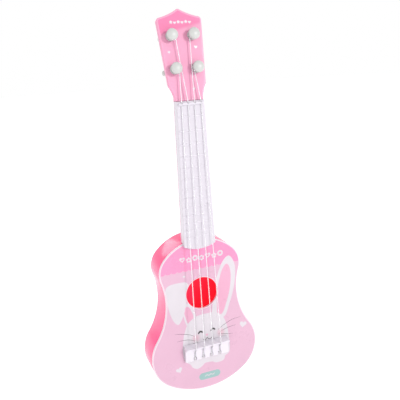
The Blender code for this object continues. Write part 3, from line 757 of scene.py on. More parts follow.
@dataclass(frozen=True)
class Plastic:
    """A moulded or printed plastic surface."""

    name: str
    color: Color
    roughness: float = 0.3
    coat: float = 0.0
    depth: float = 0.08
    glow: Color = (1.0, 0.45, 0.5)
    grain: float = 0.05
    grain_size: float = 0.0007
    mottle: float = 0.025
    scuffs: float = 0.05
    transmission: float = 0.0
    specular: float = 0.5
    # Strength of a painted glow: painted light that stands in for light bounced inside a closed hollow; the
    # part is no lamp.
    through: float = 0.0
    painted_glow_color: Color = PAINTED_GLOW_RED
    fades: tuple[Fade, ...] = ()
    spots: tuple[Spot, ...] = ()

    def dressed(self) -> bpy.types.Material:
        """Makes the material.

        Returns:
            A material with colour, gloss and a fine surface from patterns at the real scale.
        """
        wires = Wiring(self.name)
        shader = wires.shader
        cloud = wires.spread(wires.noise(CLOUD_SIZE, 2.0), 0.0, 1.0)
        tint = wires.blend(cloud, shade(self.color, 1 - self.mottle), shade(self.color, 1 + self.mottle))
        for fade in self.fades:
            along = wires.node("ShaderNodeVectorMath", operation="DOT_PRODUCT")
            along.inputs[1].default_value = fade.way
            wires.join(wires.place, along.inputs[0])
            share = wires.spread(along.outputs["Value"], 0.0, 1.0, fade.start, fade.end)
            tint = wires.blend(share, tint, fade.color)
        for spot in self.spots:
            away = wires.node("ShaderNodeVectorMath", operation="DISTANCE")
            away.inputs[1].default_value = spot.centre
            wires.join(wires.place, away.inputs[0])
            share = wires.spread(away.outputs["Value"], spot.strength, 0.0, 0.0, spot.radius)
            tint = wires.blend(share, tint, spot.color)
        wires.join(tint, shader.inputs["Base Color"])
        self._surface(wires)
        shader.inputs["Subsurface Weight"].default_value = self.depth
        shader.inputs["Subsurface Radius"].default_value = self.glow
        shader.inputs["Subsurface Scale"].default_value = SCATTER_LENGTH
        shader.inputs["Coat Weight"].default_value = self.coat
        shader.inputs["Coat Roughness"].default_value = 0.06
        shader.inputs["Transmission Weight"].default_value = self.transmission
        shader.inputs["Specular IOR Level"].default_value = self.specular
        # Painted light: this emission is a glow that stands in for bounced light, not a lamp.
        shader.inputs["Emission Color"].default_value = (*self.painted_glow_color, 1.0)
        shader.inputs["Emission Strength"].default_value = self.through
        return wires.material

    def _surface(self, wires: Wiring) -> None:
        """Gives the shader its roughness, rubbed streaks and fine mould texture.

        Args:
            wires: The material's nodes.
        """
        smudge = wires.spread(wires.noise(SMUDGE_SIZE, 3.0), self.roughness - 0.03, self.roughness + 0.03)
        streaks = wires.noise(SCUFF_SIZE, 2.0, (0.06, 1.0, 1.0))
        rubbed = wires.spread(streaks, 0.0, self.scuffs, 0.62, 0.74)
        total = wires.node("ShaderNodeMath", operation="ADD")
        wires.join(smudge, total.inputs[0])
        wires.join(rubbed, total.inputs[1])
        wires.join(total.outputs[0], wires.shader.inputs["Roughness"])
        fine = wires.node("ShaderNodeBump")
        fine.inputs["Strength"].default_value = self.grain
        fine.inputs["Distance"].default_value = self.grain_size / 4
        wires.join(wires.noise(self.grain_size, 2.0), fine.inputs["Height"])
        flow = wires.node("ShaderNodeBump")
        flow.inputs["Strength"].default_value = self.grain
        flow.inputs["Distance"].default_value = FLOW_HEIGHT
        wires.join(wires.noise(FLOW_SIZE, 1.0), flow.inputs["Height"])
        wires.join(flow.outputs["Normal"], fine.inputs["Normal"])
        wires.join(fine.outputs["Normal"], wires.shader.inputs["Normal"])


@dataclass(frozen=True)
class Steel:
    """Zinc-plated steel with fine brushed marks."""

    name: str
    color: Color = (0.62, 0.62, 0.63)
    roughness: float = 0.28

    def dressed(self) -> bpy.types.Material:
        """Makes the material.

        Returns:
            A material with its metal, wear and brushed marks.
        """
        wires = Wiring(self.name)
        cloud = wires.spread(wires.noise(0.0015, 3.0), 0.0, 1.0)
        tint = wires.blend(cloud, shade(self.color, 0.86), self.color)
        wires.join(tint, wires.shader.inputs["Base Color"])
        wear = wires.spread(wires.noise(0.0006, 2.0), self.roughness, self.roughness + 0.2)
        wires.join(wear, wires.shader.inputs["Roughness"])
        wires.shader.inputs["Metallic"].default_value = 1.0
        marks = wires.node("ShaderNodeBump")
        marks.inputs["Strength"].default_value = 0.15
        marks.inputs["Distance"].default_value = 0.00005
        wires.join(wires.noise(0.0002, 2.0, (0.2, 1.0, 1.0)), marks.inputs["Height"])
        wires.join(marks.outputs["Normal"], wires.shader.inputs["Normal"])
        return wires.material


@dataclass(frozen=True)
class Piece:
    """Where a finished piece belongs: its name, its body, the nodes it stands for and its slot."""

    name: str
    body: Body
    nodes: tuple[str, ...]
    slot: str


class Bench:
    """The frame's places, and where finished pieces are set down."""

    def __init__(self, frame: dict) -> None:
        """Reads the places that the pieces share.
        """
        self.joints = {joint["name"]: joint for joint in frame["joints"]}
        self.finishes: dict[str, bpy.types.Material] = {}
        panel_low, panel_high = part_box("front_panel")
        _, shell_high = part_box("back_shell")
        board_low, board_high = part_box("fingerboard")
        self.face_y = panel_low.y
        self.depth = shell_high.y - panel_low.y
        self.panel_box = (panel_low, panel_high)
        self.nut_height = board_high.z
        self.board_low = board_low.z
        self.face = Matrix(((1, 0, 0, 0), (0, 0, -1, self.face_y), (0, 1, 0, 0), (0, 0, 0, 1)))
        axis = Vector(self.joints["tuner_lower_left_turn"]["axis"])
        self.tilt = math.atan2(axis.z, -axis.y)

    def head(self, head_out: float) -> Matrix:
        """The head's face frame.

        Args:
            head_out: How far the head's face stands out of the body's at the nut.

        Returns:
            Its matrix in the row frame.
        """
        lean = Matrix.Rotation(math.radians(90) - self.tilt, 4, "X")
        return Matrix.Translation((0.0, self.face_y - head_out, self.nut_height)) @ lean

    def tuner_spot(self, name: str, head: Matrix) -> Vector:
        """A tuner's place in the head's face frame."""
        return head.inverted() @ Vector(self.joints[f"tuner_{name}_turn"]["pos_m"])

    def finish(self, finish: Plastic | Steel) -> bpy.types.Material:
        """The material of a finish, made once.

        Args:
            finish: The finish.

        Returns:
            Its material.
        """
        if finish.name not in self.finishes:
            self.finishes[finish.name] = finish.dressed()
        return self.finishes[finish.name]

    def set_down(
        self, piece: Piece, mesh: bpy.types.Mesh, finishes: Sequence[Plastic | Steel]
    ) -> None:
        """Puts a finished mesh in the scene and hangs it on the frame.

        Args:
            piece: Where it belongs.
            mesh: Its mesh, in the row frame.
            finishes: Its finishes, in the order of its face numbers.
        """
        for finish in finishes:
            mesh.materials.append(self.finish(finish))
        mesh.name = piece.name
        mesh.shade_smooth()
        mesh.set_sharp_from_angle(angle=EDGE_ANGLE)
        made = bpy.data.objects.new(piece.name, mesh)
        bpy.context.scene.collection.objects.link(made)
        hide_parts(*piece.nodes)
        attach(made, piece.body.value)
        LOG.info("%s: %d faces", piece.name, len(mesh.polygons))


# Prints.


@dataclass(frozen=True)
class Mark:
    """One printed shape and the number of its ink."""

    ink: int
    loop: Loop


@dataclass
class PrintSheet:
    """Printed shapes on a flat face. Later marks cover earlier ones."""

    margin: float
    hole_margin: float
    marks: list[Mark] = field(default_factory=list)

    def add(self, ink: int, *loops: Loop) -> None:
        """Adds shapes in one ink."""
        self.marks += [Mark(ink, loop) for loop in loops]

    def lay(self, mesh: bpy.types.Mesh, frame: Matrix, least: float = -1.0) -> None:
        """Prints on the flat face of a mesh.

        The face is cut along the printed shapes, so that each keeps a crisp edge.

        Args:
            mesh: The mesh, in the row frame.
            frame: The face's frame: the face is at z = 0 in it.
            least: Faces below this height in the frame stay unprinted.
        """
        work = bmesh.new()
        work.from_mesh(mesh)
        work.normal_update()
        flat = frame.inverted()
        turn = flat.to_3x3()
        found = []
        for face in work.faces:
            spots = [flat @ vert.co for vert in face.verts]
            level = all(abs(spot.z) < 10 * TINY and spot.y > least for spot in spots)
            if level and (turn @ face.normal).z > 0.99:
                found.append(face)
        chosen = set(found)
        edges = [edge for edge in work.edges if sum(face in chosen for face in edge.link_faces) == 1]
        loops = self._chains(edges)
        bmesh.ops.delete(work, geom=found, context="FACES")
        flats = []
        for k, loop in enumerate(loops):
            spots = [(flat @ vert.co).xy.to_tuple() for vert in loop]
            area = sum(a[0] * b[1] - b[0] * a[1] for a, b in zip(spots, spots[1:] + spots[:1]))
            if area < 0:
                spots.reverse()
                loops[k] = loop[::-1]
            flats.append((abs(area), spots, loops[k]))
        flats.sort(key=lambda entry: -entry[0])
        self._fill(work, frame, [(spots, loop) for _area, spots, loop in flats])
        bmesh.ops.recalc_face_normals(work, faces=work.faces)
        work.to_mesh(mesh)
        work.free()

    @staticmethod
    def _chains(edges: list[bmesh.types.BMEdge]) -> list[list[bmesh.types.BMVert]]:
        """Closed chains of points along edges.

        Args:
            edges: The edges.

        Returns:
            The points of each chain, in order.
        """
        nexts: dict[bmesh.types.BMVert, list[bmesh.types.BMVert]] = {}
        for edge in edges:
            a, b = edge.verts
            nexts.setdefault(a, []).append(b)
            nexts.setdefault(b, []).append(a)
        chains, seen = [], set()
        for start in nexts:
            if start in seen:
                continue
            chain, before, at = [], None, start
            while at not in seen:
                seen.add(at)
                chain.append(at)
                ahead = [v for v in nexts[at] if v is not before and v not in seen]
                before, at = at, ahead[0] if ahead else at
            chains.append(chain)
        return chains

    def _fill(self, work: bmesh.types.BMesh, frame: Matrix, rims: list[tuple]) -> None:
        """Fills a face with triangles that follow the prints.

        Args:
            work: The mesh, with that face taken out.
            frame: The face's frame.
            rims: (points, verts) of the face's outer rim, then of each hole in it.
        """
        areas = [offset(without_repeats(rims[0][0]), self.margin)]
        areas += [offset(without_repeats(spots), -self.hole_margin) for spots, _verts in rims[1:]]
        spots, tris, _ids = self._cut(areas + [mark.loop for mark in self.marks])
        middles = spots[tris].mean(axis=1)
        keep = inside(areas[0], middles)
        for hole in areas[1:]:
            keep &= ~inside(hole, middles)
        inks = np.zeros(len(tris), int)
        for mark in self.marks:
            inks[inside(mark.loop, middles)] = mark.ink
        made: dict[int, bmesh.types.BMVert] = {}
        for tri, ink in zip(tris[keep], inks[keep]):
            for i in tri:
                if i not in made:
                    made[i] = work.verts.new(frame @ Vector((*spots[i], 0.0)))
            work.faces.new([made[i] for i in tri]).material_index = int(ink)
        border = self._border(tris[keep])
        order = sorted({i for edge in border for i in edge})
        number = {i: k for k, i in enumerate(order)}
        inner = [tuple(spots[i]) for i in order]
        verts = [vert for _spots, loop in rims for vert in loop] + [made[i] for i in order]
        lines = [(number[a], number[b]) for a, b in border]
        spots, tris, ids = self._cut([rim for rim, _verts in rims], inner, lines)
        middles = spots[tris].mean(axis=1)
        ring = inside(rims[0][0], middles)
        for rim, _verts in rims[1:]:
            ring &= ~inside(rim, middles)
        printed = inside(areas[0], middles)
        for hole in areas[1:]:
            printed &= ~inside(hole, middles)
        for tri in tris[ring & ~printed]:
            work.faces.new([verts[ids[i]] for i in tri])

    @staticmethod
    def _border(tris: np.ndarray) -> list[tuple[int, int]]:
        """The edges that only one triangle uses.

        Args:
            tris: The triangles.

        Returns:
            The edges, as pairs of point numbers.
        """
        count: dict[tuple[int, int], int] = {}
        for tri in tris:
            for a, b in ((0, 1), (1, 2), (2, 0)):
                edge = tuple(sorted((int(tri[a]), int(tri[b]))))
                count[edge] = count.get(edge, 0) + 1
        return [edge for edge, uses in count.items() if uses == 1]

    @staticmethod
    def _cut(
        loops: list[Loop], extra: Loop | None = None, lines: list[tuple[int, int]] | None = None
    ) -> tuple[np.ndarray, np.ndarray, list[int]]:
        """Triangles that follow every loop.

        Args:
            loops: Closed loops.
            extra: More points.
            lines: Edges between the extra points.

        Returns:
            The points, the triangles, and for each point the number of the point given for it.
        """
        points, edges = [], []
        for loop in loops:
            first = len(points)
            points += [Vector(spot) for spot in loop]
            edges += [(first + i, first + (i + 1) % len(loop)) for i in range(len(loop))]
        first = len(points)
        points += [Vector(spot) for spot in extra or []]
        edges += [(first + a, first + b) for a, b in lines or []]
        scaled = [point / MM for point in points]
        out = delaunay_2d_cdt(scaled, edges, [], 0, TINY)
        spots = np.array([spot[:] for spot in out[0]]) * MM
        ids = [given[0] if given else -1 for given in out[3]]
        return spots, np.array(out[2]), ids


# The body.


@dataclass
class BodyShape:
    """The body's outline: two bouts, a waist and two shallow ends, all tangent arcs."""

    lower_width: float
    top: float
    bottom: float
    wall: float = 0.0018
    upper_width: float = 0.079
    waist_width: float = 0.071
    upper_height: float = 0.024
    lower_height: float = -0.060
    upper_radius: float = 0.0215
    lower_radius: float = 0.0345
    step: float = math.radians(2.5)

    def centres(self) -> tuple[Point, Point]:
        """Centres of the upper and lower bout on the right side."""
        upper = (self.upper_width / 2 - self.upper_radius, self.upper_height)
        return upper, (self.lower_width / 2 - self.lower_radius, self.lower_height)

    def _waist(self, upper: Point, lower: Point) -> tuple[Point, float]:
        """Centre and radius of the circle outside both bouts that gives the waist its width.

        Args:
            upper: Centre of the upper bout.
            lower: Centre of the lower bout.

        Returns:
            The centre and the radius.
        """
        edge = self.waist_width / 2
        bouts = ((upper, self.upper_radius), (lower, self.lower_radius))
        terms = [(r**2 - (edge - c[0]) ** 2, 2 * (r + c[0] - edge)) for c, r in bouts]
        least, most = 0.0, 2.0
        for _ in range(60):
            radius = (least + most) / 2
            if sum(math.sqrt(a + b * radius) for a, b in terms) < upper[1] - lower[1]:
                least = radius
            else:
                most = radius
        return (edge + radius, upper[1] - math.sqrt(terms[0][0] + terms[0][1] * radius)), radius

    @staticmethod
    def _end(bout: Point, bout_radius: float, height: float) -> tuple[Point, float]:
        """Centre and radius of the circle that closes the outline at an end.

        Args:
            bout: The bout's centre.
            bout_radius: Its radius.
            height: Where the end lies.

        Returns:
            The centre and the radius.
        """
        reach = abs(height - bout[1])
        radius = (bout[0] ** 2 + reach**2 - bout_radius**2) / (2 * (reach - bout_radius))
        return (0.0, height - math.copysign(radius, height - bout[1])), radius

    def outline(self, inset: float = 0.0) -> Loop:
        """The outline, moved inwards by inset.

        Args:
            inset: How far.

        Returns:
            A closed anticlockwise loop.
        """
        upper, lower = self.centres()
        waist, waist_radius = self._waist(upper, lower)
        top, top_radius = self._end(upper, self.upper_radius, self.top)
        bottom, bottom_radius = self._end(lower, self.lower_radius, self.bottom)
        hollow = (bearing(waist, upper) + math.tau, bearing(waist, lower) + math.tau)
        right = arc(top, top_radius - inset, 0.0, bearing(top, upper), self.step / 2)
        turns = [
            (upper, self.upper_radius - inset, bearing(top, upper), bearing(upper, waist)),
            (waist, waist_radius + inset, *hollow),
            (lower, self.lower_radius - inset, bearing(lower, waist), bearing(bottom, lower)),
            (bottom, bottom_radius - inset, bearing(bottom, lower), math.pi),
        ]
        for centre, radius, start, end in turns:
            right += arc(centre, radius, start, end, self.step)[1:]
        left = [(-x, y) for x, y in reversed(right[1:-1])]
        return (right + left)[::-1]


@dataclass
class Fixings:
    """The screws, and the bosses and posts that they join."""

    shape: BodyShape
    head_radius: float = 0.0029
    head_height: float = 0.0018
    shank_radius: float = 0.0013
    length: float = 0.014
    entry: float = 0.006
    boss_wall: float = 0.0014
    post_wall: float = 0.0016
    post_length: float = 0.008
    inset: float = 0.0098
    upper_angle: float = math.radians(45)
    lower_angles: Point = (math.radians(80), math.radians(152))
    neck_heights: Point = (0.028, 0.041)
    tongue_back: float = 0.015
    tongue_width: float = 0.018
    panel: float = 0.002

    def bosses(self) -> list[tuple[str, float, float]]:
        """The six body screws, as (name, x, y).

        Returns:
            One entry for each screw.
        """
        upper, lower = self.shape.centres()
        spots = [("upper", upper, self.shape.upper_radius - self.inset, self.upper_angle)]
        for label, angle in zip(("lower", "tail"), self.lower_angles):
            spots.append((label, lower, self.shape.lower_radius - self.inset, angle))
        found = []
        for label, centre, radius, angle in spots:
            x, y = centre[0] + radius * math.sin(angle), centre[1] + radius * math.cos(angle)
            found += [(f"{label}_left", -x, y), (f"{label}_right", x, y)]
        return found

    def seats(self) -> list[tuple[str, float, float, float, float]]:
        """Each screw's node, its place, the end of what it bites, and the seat of its head.

        Returns:
            (node, x, y, end, seat) of each screw.
        """
        end = -self.panel - self.post_length
        found = [(f"body_screw_{name}", x, y, end) for name, x, y in self.bosses()]
        for name, height in zip(("lower", "upper"), self.neck_heights):
            found.append((f"neck_screw_{name}", 0.0, height, -self.tongue_back))
        return [(name, x, y, end, end + self.entry - self.length) for name, x, y, end in found]


@dataclass
class BackShell:
    """The deep pink hollow tub: sides and flat back in one moulding."""

    bench: Bench
    shape: BodyShape
    fixings: Fixings
    back_radius: float = 0.004
    inner_radius: float = 0.0022
    rim_radius: float = 0.00035
    outer: Plastic = Plastic(
        "shell_deep_pink", SHELL_PINK, roughness=0.16, depth=0.05, grain=0.02, specular=0.45
    )
    # The inside of the tub: painted shade in a darker, redder copy of the shell's pink, with a painted red
    # glow for light bounced inside it.
    inner: Plastic = Plastic(
        "shell_inside_painted_shade_glow", PAINTED_SHADE_INSIDE_PINK, roughness=0.45, depth=0.0, specular=0.2, through=0.48
    )

    def build(self) -> None:
        """Builds the tub, its bosses and its screw recesses."""
        back, front = -self.bench.depth, -self.fixings.panel - SEAM
        mesh = self._tub(back, front).mesh("back_shell")
        recess = self.fixings.head_radius + SEAM
        bosses, recesses, holes = [], [], []
        for _name, x, y, end, seat in self.fixings.seats():
            place, top = shift(x, y), end - SEAM
            bosses.append(rod(recess + self.fixings.boss_wall, back + self.shape.wall / 2, top, place))
            mouth = [(recess, seat - SEAM), (recess, back + SUPPORT)]
            mouth += [(recess + 2 * SUPPORT, back - SUPPORT), (recess + 2 * SUPPORT, back - OVERRUN)]
            recesses.append(Form().lathe(mouth, 48, place))
            holes.append(rod(self.fixings.shank_radius + SEAM, seat - OVERRUN, top + OVERRUN, place, 24))
        mesh = work_on(mesh, merged("bosses", bosses), Way.ADD)
        mesh = work_on(mesh, merged("recesses", recesses), Way.CUT)
        mesh = work_on(mesh, merged("holes", holes), Way.CUT)
        half = self.fixings.tongue_width / 2 + SEAM
        low = (-half, self.shape.top - 4 * self.shape.wall, -self.fixings.tongue_back - SEAM)
        notch = block(low, (half, self.shape.top + OVERRUN, front + OVERRUN))
        mesh = work_on(mesh, notch.mesh("notch"), Way.CUT)
        self._part_inside(mesh, back)
        mesh.transform(self.bench.face)
        piece = Piece("back_shell_moulding", Body.TOY, ("back_shell",), "shell_pink")
        self.bench.set_down(piece, mesh, [self.outer, self.inner])

    def _tub(self, back: float, front: float) -> Form:
        """The plain tub.

        Args:
            back: Height of its back face in the face frame.
            front: Height of its rim.

        Returns:
            The form.
        """
        bends = quarter(8)
        r, wall = self.inner_radius, self.shape.wall
        levels = [(wall + r + SUPPORT, back + wall)]
        levels += [(wall + r * (1 - math.sin(a)), back + wall + r * (1 - math.cos(a))) for a in bends]
        r = self.rim_radius
        levels += [(wall - r * (1 - math.cos(a)), front - r * (1 - math.sin(a))) for a in bends[::2]]
        levels += [(r * (1 - math.sin(a)), front - r * (1 - math.cos(a))) for a in bends[::2]]
        r = self.back_radius
        levels += [(r * (1 - math.cos(a)), back + r * (1 - math.sin(a))) for a in bends]
        levels += [(r + SUPPORT, back)]
        loops = ([(x, y, z) for x, y in self.shape.outline(inset)] for inset, z in levels)
        return Form().stack(loops)

    def _part_inside(self, mesh: bpy.types.Mesh, back: float) -> None:
        """Gives the faces inside the tub their own finish: a darker, redder copy of the shell's pink that
        glows, painted shade and painted bounced light.

        Args:
            mesh: The tub's mesh, in the face frame.
            back: Height of its back face.
        """
        limit = self.shape.outline(self.shape.wall * 0.75)
        middles = np.array([face.center for face in mesh.polygons])
        within = inside(limit, middles) & (middles[:, 2] > back + self.shape.wall * 0.9)
        for _name, x, y, _end, _seat in self.fixings.seats():
            away = np.hypot(middles[:, 0] - x, middles[:, 1] - y)
            within &= away > self.fixings.head_radius + self.fixings.boss_wall / 2
        for face, inner in zip(mesh.polygons, within):
            face.material_index = int(inner)


class PanelInk(Enum):
    """The inks on the front panel, by face number."""

    BARE = 0
    BAND = 1
    WHITE = 2
    EAR = 3
    LINE = 4
    MINT = 5
    FACE = 6


@dataclass
class FrontPanel:
    """The pale pink printed plate with the sound hole, its lip and its posts."""

    bench: Bench
    shape: BodyShape
    fixings: Fixings
    edge: Rim = Rim(0.0, 0.0007, 6)
    lip_inset: float = 0.0021
    lip_thickness: float = 0.0012
    lip_depth: float = 0.003
    hole_radius: float = 0.0155
    hole_edge: float = 0.0004
    pin_radius: float = 0.0018
    pin_spacing: float = 0.030
    band_height: float = 26.0
    scallop: float = 5.6

    def build(self) -> None:
        """Builds the plate and prints on it."""
        under = -self.fixings.panel
        levels = self.edge.levels(under, 0.0)
        rings = ([(x, y, z) for x, y in self.shape.outline(inset)] for inset, z in levels)
        mesh = Form().stack(rings).mesh("front_panel")
        mesh = self._add_lip(mesh, under)
        shank = self.fixings.shank_radius + SEAM
        posts, pilots = [], []
        low = under - self.fixings.post_length
        for _name, x, y in self.fixings.bosses():
            posts.append(rod(shank + self.fixings.post_wall, low, under / 2, shift(x, y)))
            deep = low + self.fixings.entry + SEAM
            pilots.append(rod(shank, low - OVERRUN, deep, shift(x, y), 24))
        mesh = work_on(mesh, merged("posts", posts), Way.ADD)
        mesh = work_on(mesh, merged("pilots", pilots), Way.CUT)
        mesh = work_on(mesh, merged("holes", self._holes(under)), Way.CUT)
        sheet = PrintSheet(margin=0.0004, hole_margin=0.0003)
        self._draw(sheet)
        sheet.lay(mesh, Matrix())
        mesh.transform(self.bench.face)
        piece = Piece("front_panel_printed", Body.TOY, ("front_panel",), "panel_pink")
        self.bench.set_down(piece, mesh, self._finishes())

    def _holes(self, under: float) -> list[Form]:
        """The cutters of the sound hole, with its eased edge, and of the bridge's two pins.

        Args:
            under: Height of the plate's underside.

        Returns:
            The three cutters.
        """
        r, ease = self.hole_radius, self.hole_edge
        bends = quarter(5)
        mouth = [(0.0, OVERRUN), (r + ease, OVERRUN)]
        mouth += [(r + ease * (1 - math.sin(a)), -ease * (1 - math.cos(a))) for a in bends]
        cutters = [Form().lathe(mouth + [(r, under - OVERRUN), (0.0, under - OVERRUN)], 96)]
        low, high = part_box("bridge")
        middle = (low.z + high.z) / 2
        for side in (-1, 1):
            place = shift(side * self.pin_spacing / 2, middle)
            cutters.append(rod(self.pin_radius, under - OVERRUN, OVERRUN, place, 24))
        return cutters

    def _add_lip(self, mesh: bpy.types.Mesh, under: float) -> bpy.types.Mesh:
        """Adds the locating lip, open where the neck's tongue passes.

        Args:
            mesh: The plate, which is used up.
            under: Height of its underside.

        Returns:
            The plate with its lip.
        """
        outer = self.shape.outline(self.lip_inset)
        inner = self.shape.outline(self.lip_inset + self.lip_thickness)
        low = under - self.lip_depth
        lip = plate(outer, low, under / 2).mesh("lip")
        lip = work_on(lip, plate(inner, low - OVERRUN, under).mesh("hollow"), Way.CUT)
        half, top = self.fixings.tongue_width / 2 + SEAM, self.shape.top
        gap = block((-half, top - 6 * self.shape.wall, low - OVERRUN), (half, top, under))
        return work_on(mesh, work_on(lip, gap.mesh("gap"), Way.CUT), Way.ADD)

    def _finishes(self) -> list[Plastic]:
        """The bare plastic and the inks, in the order of PanelInk.

        Returns:
            The finishes.
        """
        face = self.bench.face
        cheeks = [face @ Vector((x * MM, -44.6 * MM, 0.0)) for x in (-9.0, 16.5)]
        blush = tuple(Spot(BLUSH, tuple(spot), 0.006, 0.8) for spot in cheeks)
        return [
            Plastic("panel_rim_pink", RIM_PINK, coat=0.15, depth=0.0),
            Plastic("ink_band_pink", BAND_PINK, roughness=0.27, coat=0.2, depth=0.0),
            Plastic("ink_white", INK_WHITE, roughness=0.32, depth=0.0, spots=blush),
            Plastic("ink_ear_pink", EAR_PINK, depth=0.0),
            Plastic("ink_dark", INK_DARK, roughness=0.35, depth=0.0),
            Plastic("ink_mint", INK_MINT, depth=0.0),
            Plastic("panel_pale_pink", PALE_PINK, coat=0.15, depth=0.0, grain=0.03, mottle=0.012),
        ]

    def _draw(self, sheet: PrintSheet) -> None:
        """Draws the panel's print. Places are in millimetres from the sound hole's centre.

        Args:
            sheet: What it is drawn on.
        """
        sheet.add(PanelInk.FACE.value, self.shape.outline(-OVERRUN))
        self._draw_band(sheet)
        self._draw_rabbit(sheet)
        self._draw_rabbit_face(sheet)
        white, mint = PanelInk.WHITE.value, PanelInk.MINT.value
        for x, y, size, turn in ((40, -42.5, 7.4, -14), (-28, -74, 6.4, 18), (-16.5, 19.5, 2.6, 0)):
            sheet.add(white, scaled(heart((x, y), size, math.radians(turn))))
        label = arc((9.8, -87.2), 3.7, 0.0, math.pi, math.radians(12))
        label += arc((-5.0, -87.2), 3.7, math.pi, math.tau, math.radians(12))
        sheet.add(mint, scaled(label[::-1]))
        wave = [(-2.6, -87.6), (-0.6, -86.6), (1.4, -87.6), (3.4, -86.6), (5.4, -87.6), (7.4, -86.6)]
        sheet.add(white, scaled(stroke(wave, 0.75, 0.8)))

    def _draw_band(self, sheet: PrintSheet) -> None:
        """The deep pink band with its scalloped lower edge, and a row of small shapes on it.

        Args:
            sheet: What it is drawn on.
        """
        reach = self.shape.upper_width / MM
        count = round(reach / self.scallop)
        edge = []
        for i in range(count):
            middle = (-reach / 2 + (i + 0.5) * self.scallop, self.band_height)
            turns = arc(middle, self.scallop / 2, 1.5 * math.pi, 0.5 * math.pi, math.radians(15))
            edge += [(x, (y - self.band_height) * 0.6 + self.band_height) for x, y in turns]
        top = self.shape.top / MM + 5
        sheet.add(PanelInk.BAND.value, scaled(without_repeats([*edge, (reach / 2, top), (-reach / 2, top)])))
        makers: list[Callable[[Point, float], Loop]] = [
            heart,
            lambda at, size: flower(at, size, 5, 0.30),
            lambda at, size: circle(at, size / 2),
            lambda at, size: flower(at, size, 6, 0.22),
        ]
        for i in range(7):
            maker = makers[i % len(makers)]
            at = (-17.0 + 6.2 * i, 35.3 + 0.5 * (-1) ** i)
            sheet.add(PanelInk.WHITE.value, scaled(maker(at, 5.6)))
            sheet.add(PanelInk.BAND.value, scaled(maker(at, 2.4)))

    @staticmethod
    def _draw_rabbit(sheet: PrintSheet) -> None:
        """A plain white rabbit: one ear up, one folded over, a round head and two paws.

        Args:
            sheet: What it is drawn on.
        """
        white, pink = PanelInk.WHITE.value, PanelInk.EAR.value
        stem = [(-20, -10), (-13, -8), (-8, -20), (-9, -29), (-16, -31), (-19, -24)]
        inner_stem = [(-19, -13), (-14.5, -11), (-10.5, -20), (-11, -27), (-15.5, -28), (-17.5, -23)]
        folded = [(-31, 14), (-22, 14.6), (-14, 13), (-13, 4), (-16, -6), (-19.5, -18)]
        folded += [(-25, -26.5), (-30, -21.5), (-33.2, -11), (-35, 1), (-35, 10.5)]
        upright = [(27.5, 31.6), (31.8, 28.4), (34.4, 20), (34.2, 9), (31.2, -5), (26.4, -18)]
        upright += [(21.5, -28.5), (13, -29), (8.6, -24), (10.4, -10), (13, 3), (16, 14), (21.5, 26)]
        inner = [(25.8, 24), (29.0, 19.4), (29.6, 9), (27.4, -4), (23.4, -16), (19.2, -25), (14.4, -25)]
        inner += [(14, -14), (15.8, 1), (18.2, 11), (21.6, 19.6)]
        head = [(2, -21.6), (11.5, -22.6), (19, -28), (22.6, -37), (24.0, -46), (24.8, -56)]
        head += [(24.8, -65.6), (22.8, -69.2), (19.6, -70.8), (18.6, -74), (15.4, -75.8), (9.4, -75.7)]
        head += [(5.6, -73.6), (-1.6, -73.2), (-4.8, -75.6), (-9.6, -77.4), (-14.2, -75), (-16.8, -70.6)]
        head += [(-21.6, -66), (-23, -56), (-22.2, -46), (-20.2, -37), (-16, -28), (-8, -22.6)]
        for ink, points in (
            (white, stem),
            (pink, inner_stem),
            (white, folded),
            (white, upright),
            (pink, inner),
            (white, head),
        ):
            loop = smooth(points, 8)
            sheet.add(ink, scaled(loop))

    @staticmethod
    def _draw_rabbit_face(sheet: PrintSheet) -> None:
        """Two closed eyes, a nose, a mouth and six whiskers.

        Args:
            sheet: What it is drawn on.
        """
        line = PanelInk.LINE.value
        for x in (-4.4, 8.4):
            eye = [(x - 2.0, -40.5), (x - 0.7, -39.1), (x + 0.8, -39.0), (x + 2.0, -40.2)]
            sheet.add(line, scaled(stroke(eye, 1.8, 0.75)))
        nose = [(0.9, -43.2), (2.1, -42.8), (3.3, -43.2), (2.1, -45.0)]
        sheet.add(PanelInk.EAR.value, scaled(smooth(nose, 5)[::-1]))
        mouth = [(-2.6, -47.0), (-1.2, -48.5), (0.8, -48.3), (2.1, -46.6), (3.4, -48.3), (5.6, -48.5)]
        sheet.add(line, scaled(stroke([*mouth, (7.0, -47.2)], 0.55, 0.6)))
        whiskers = [
            [(-30, -35.4), (-22, -37.2), (-15, -39.6), (-9.5, -43.0)],
            [(-28, -43.6), (-21, -43.8), (-15, -45.0), (-8.6, -48.2)],
            [(-22.6, -51.2), (-18, -50.6), (-13, -49.8), (-8, -49.0)],
            [(13.5, -41.6), (20, -37.6), (29, -34.2), (38, -33.4)],
            [(14.5, -44.8), (19, -42.8), (26, -41.2), (32.5, -41.0)],
            [(13.5, -45.6), (18, -46.8), (23, -48.0), (28.6, -49.2)],
        ]
        for points in whiskers:
            sheet.add(line, scaled(stroke(points, 0.36, 0.35, 8)))


def scaled(loop: Loop) -> Loop:
    """A loop in millimetres, in metres."""
    return [(x * MM, y * MM) for x, y in loop]


# Neck and fingerboard.


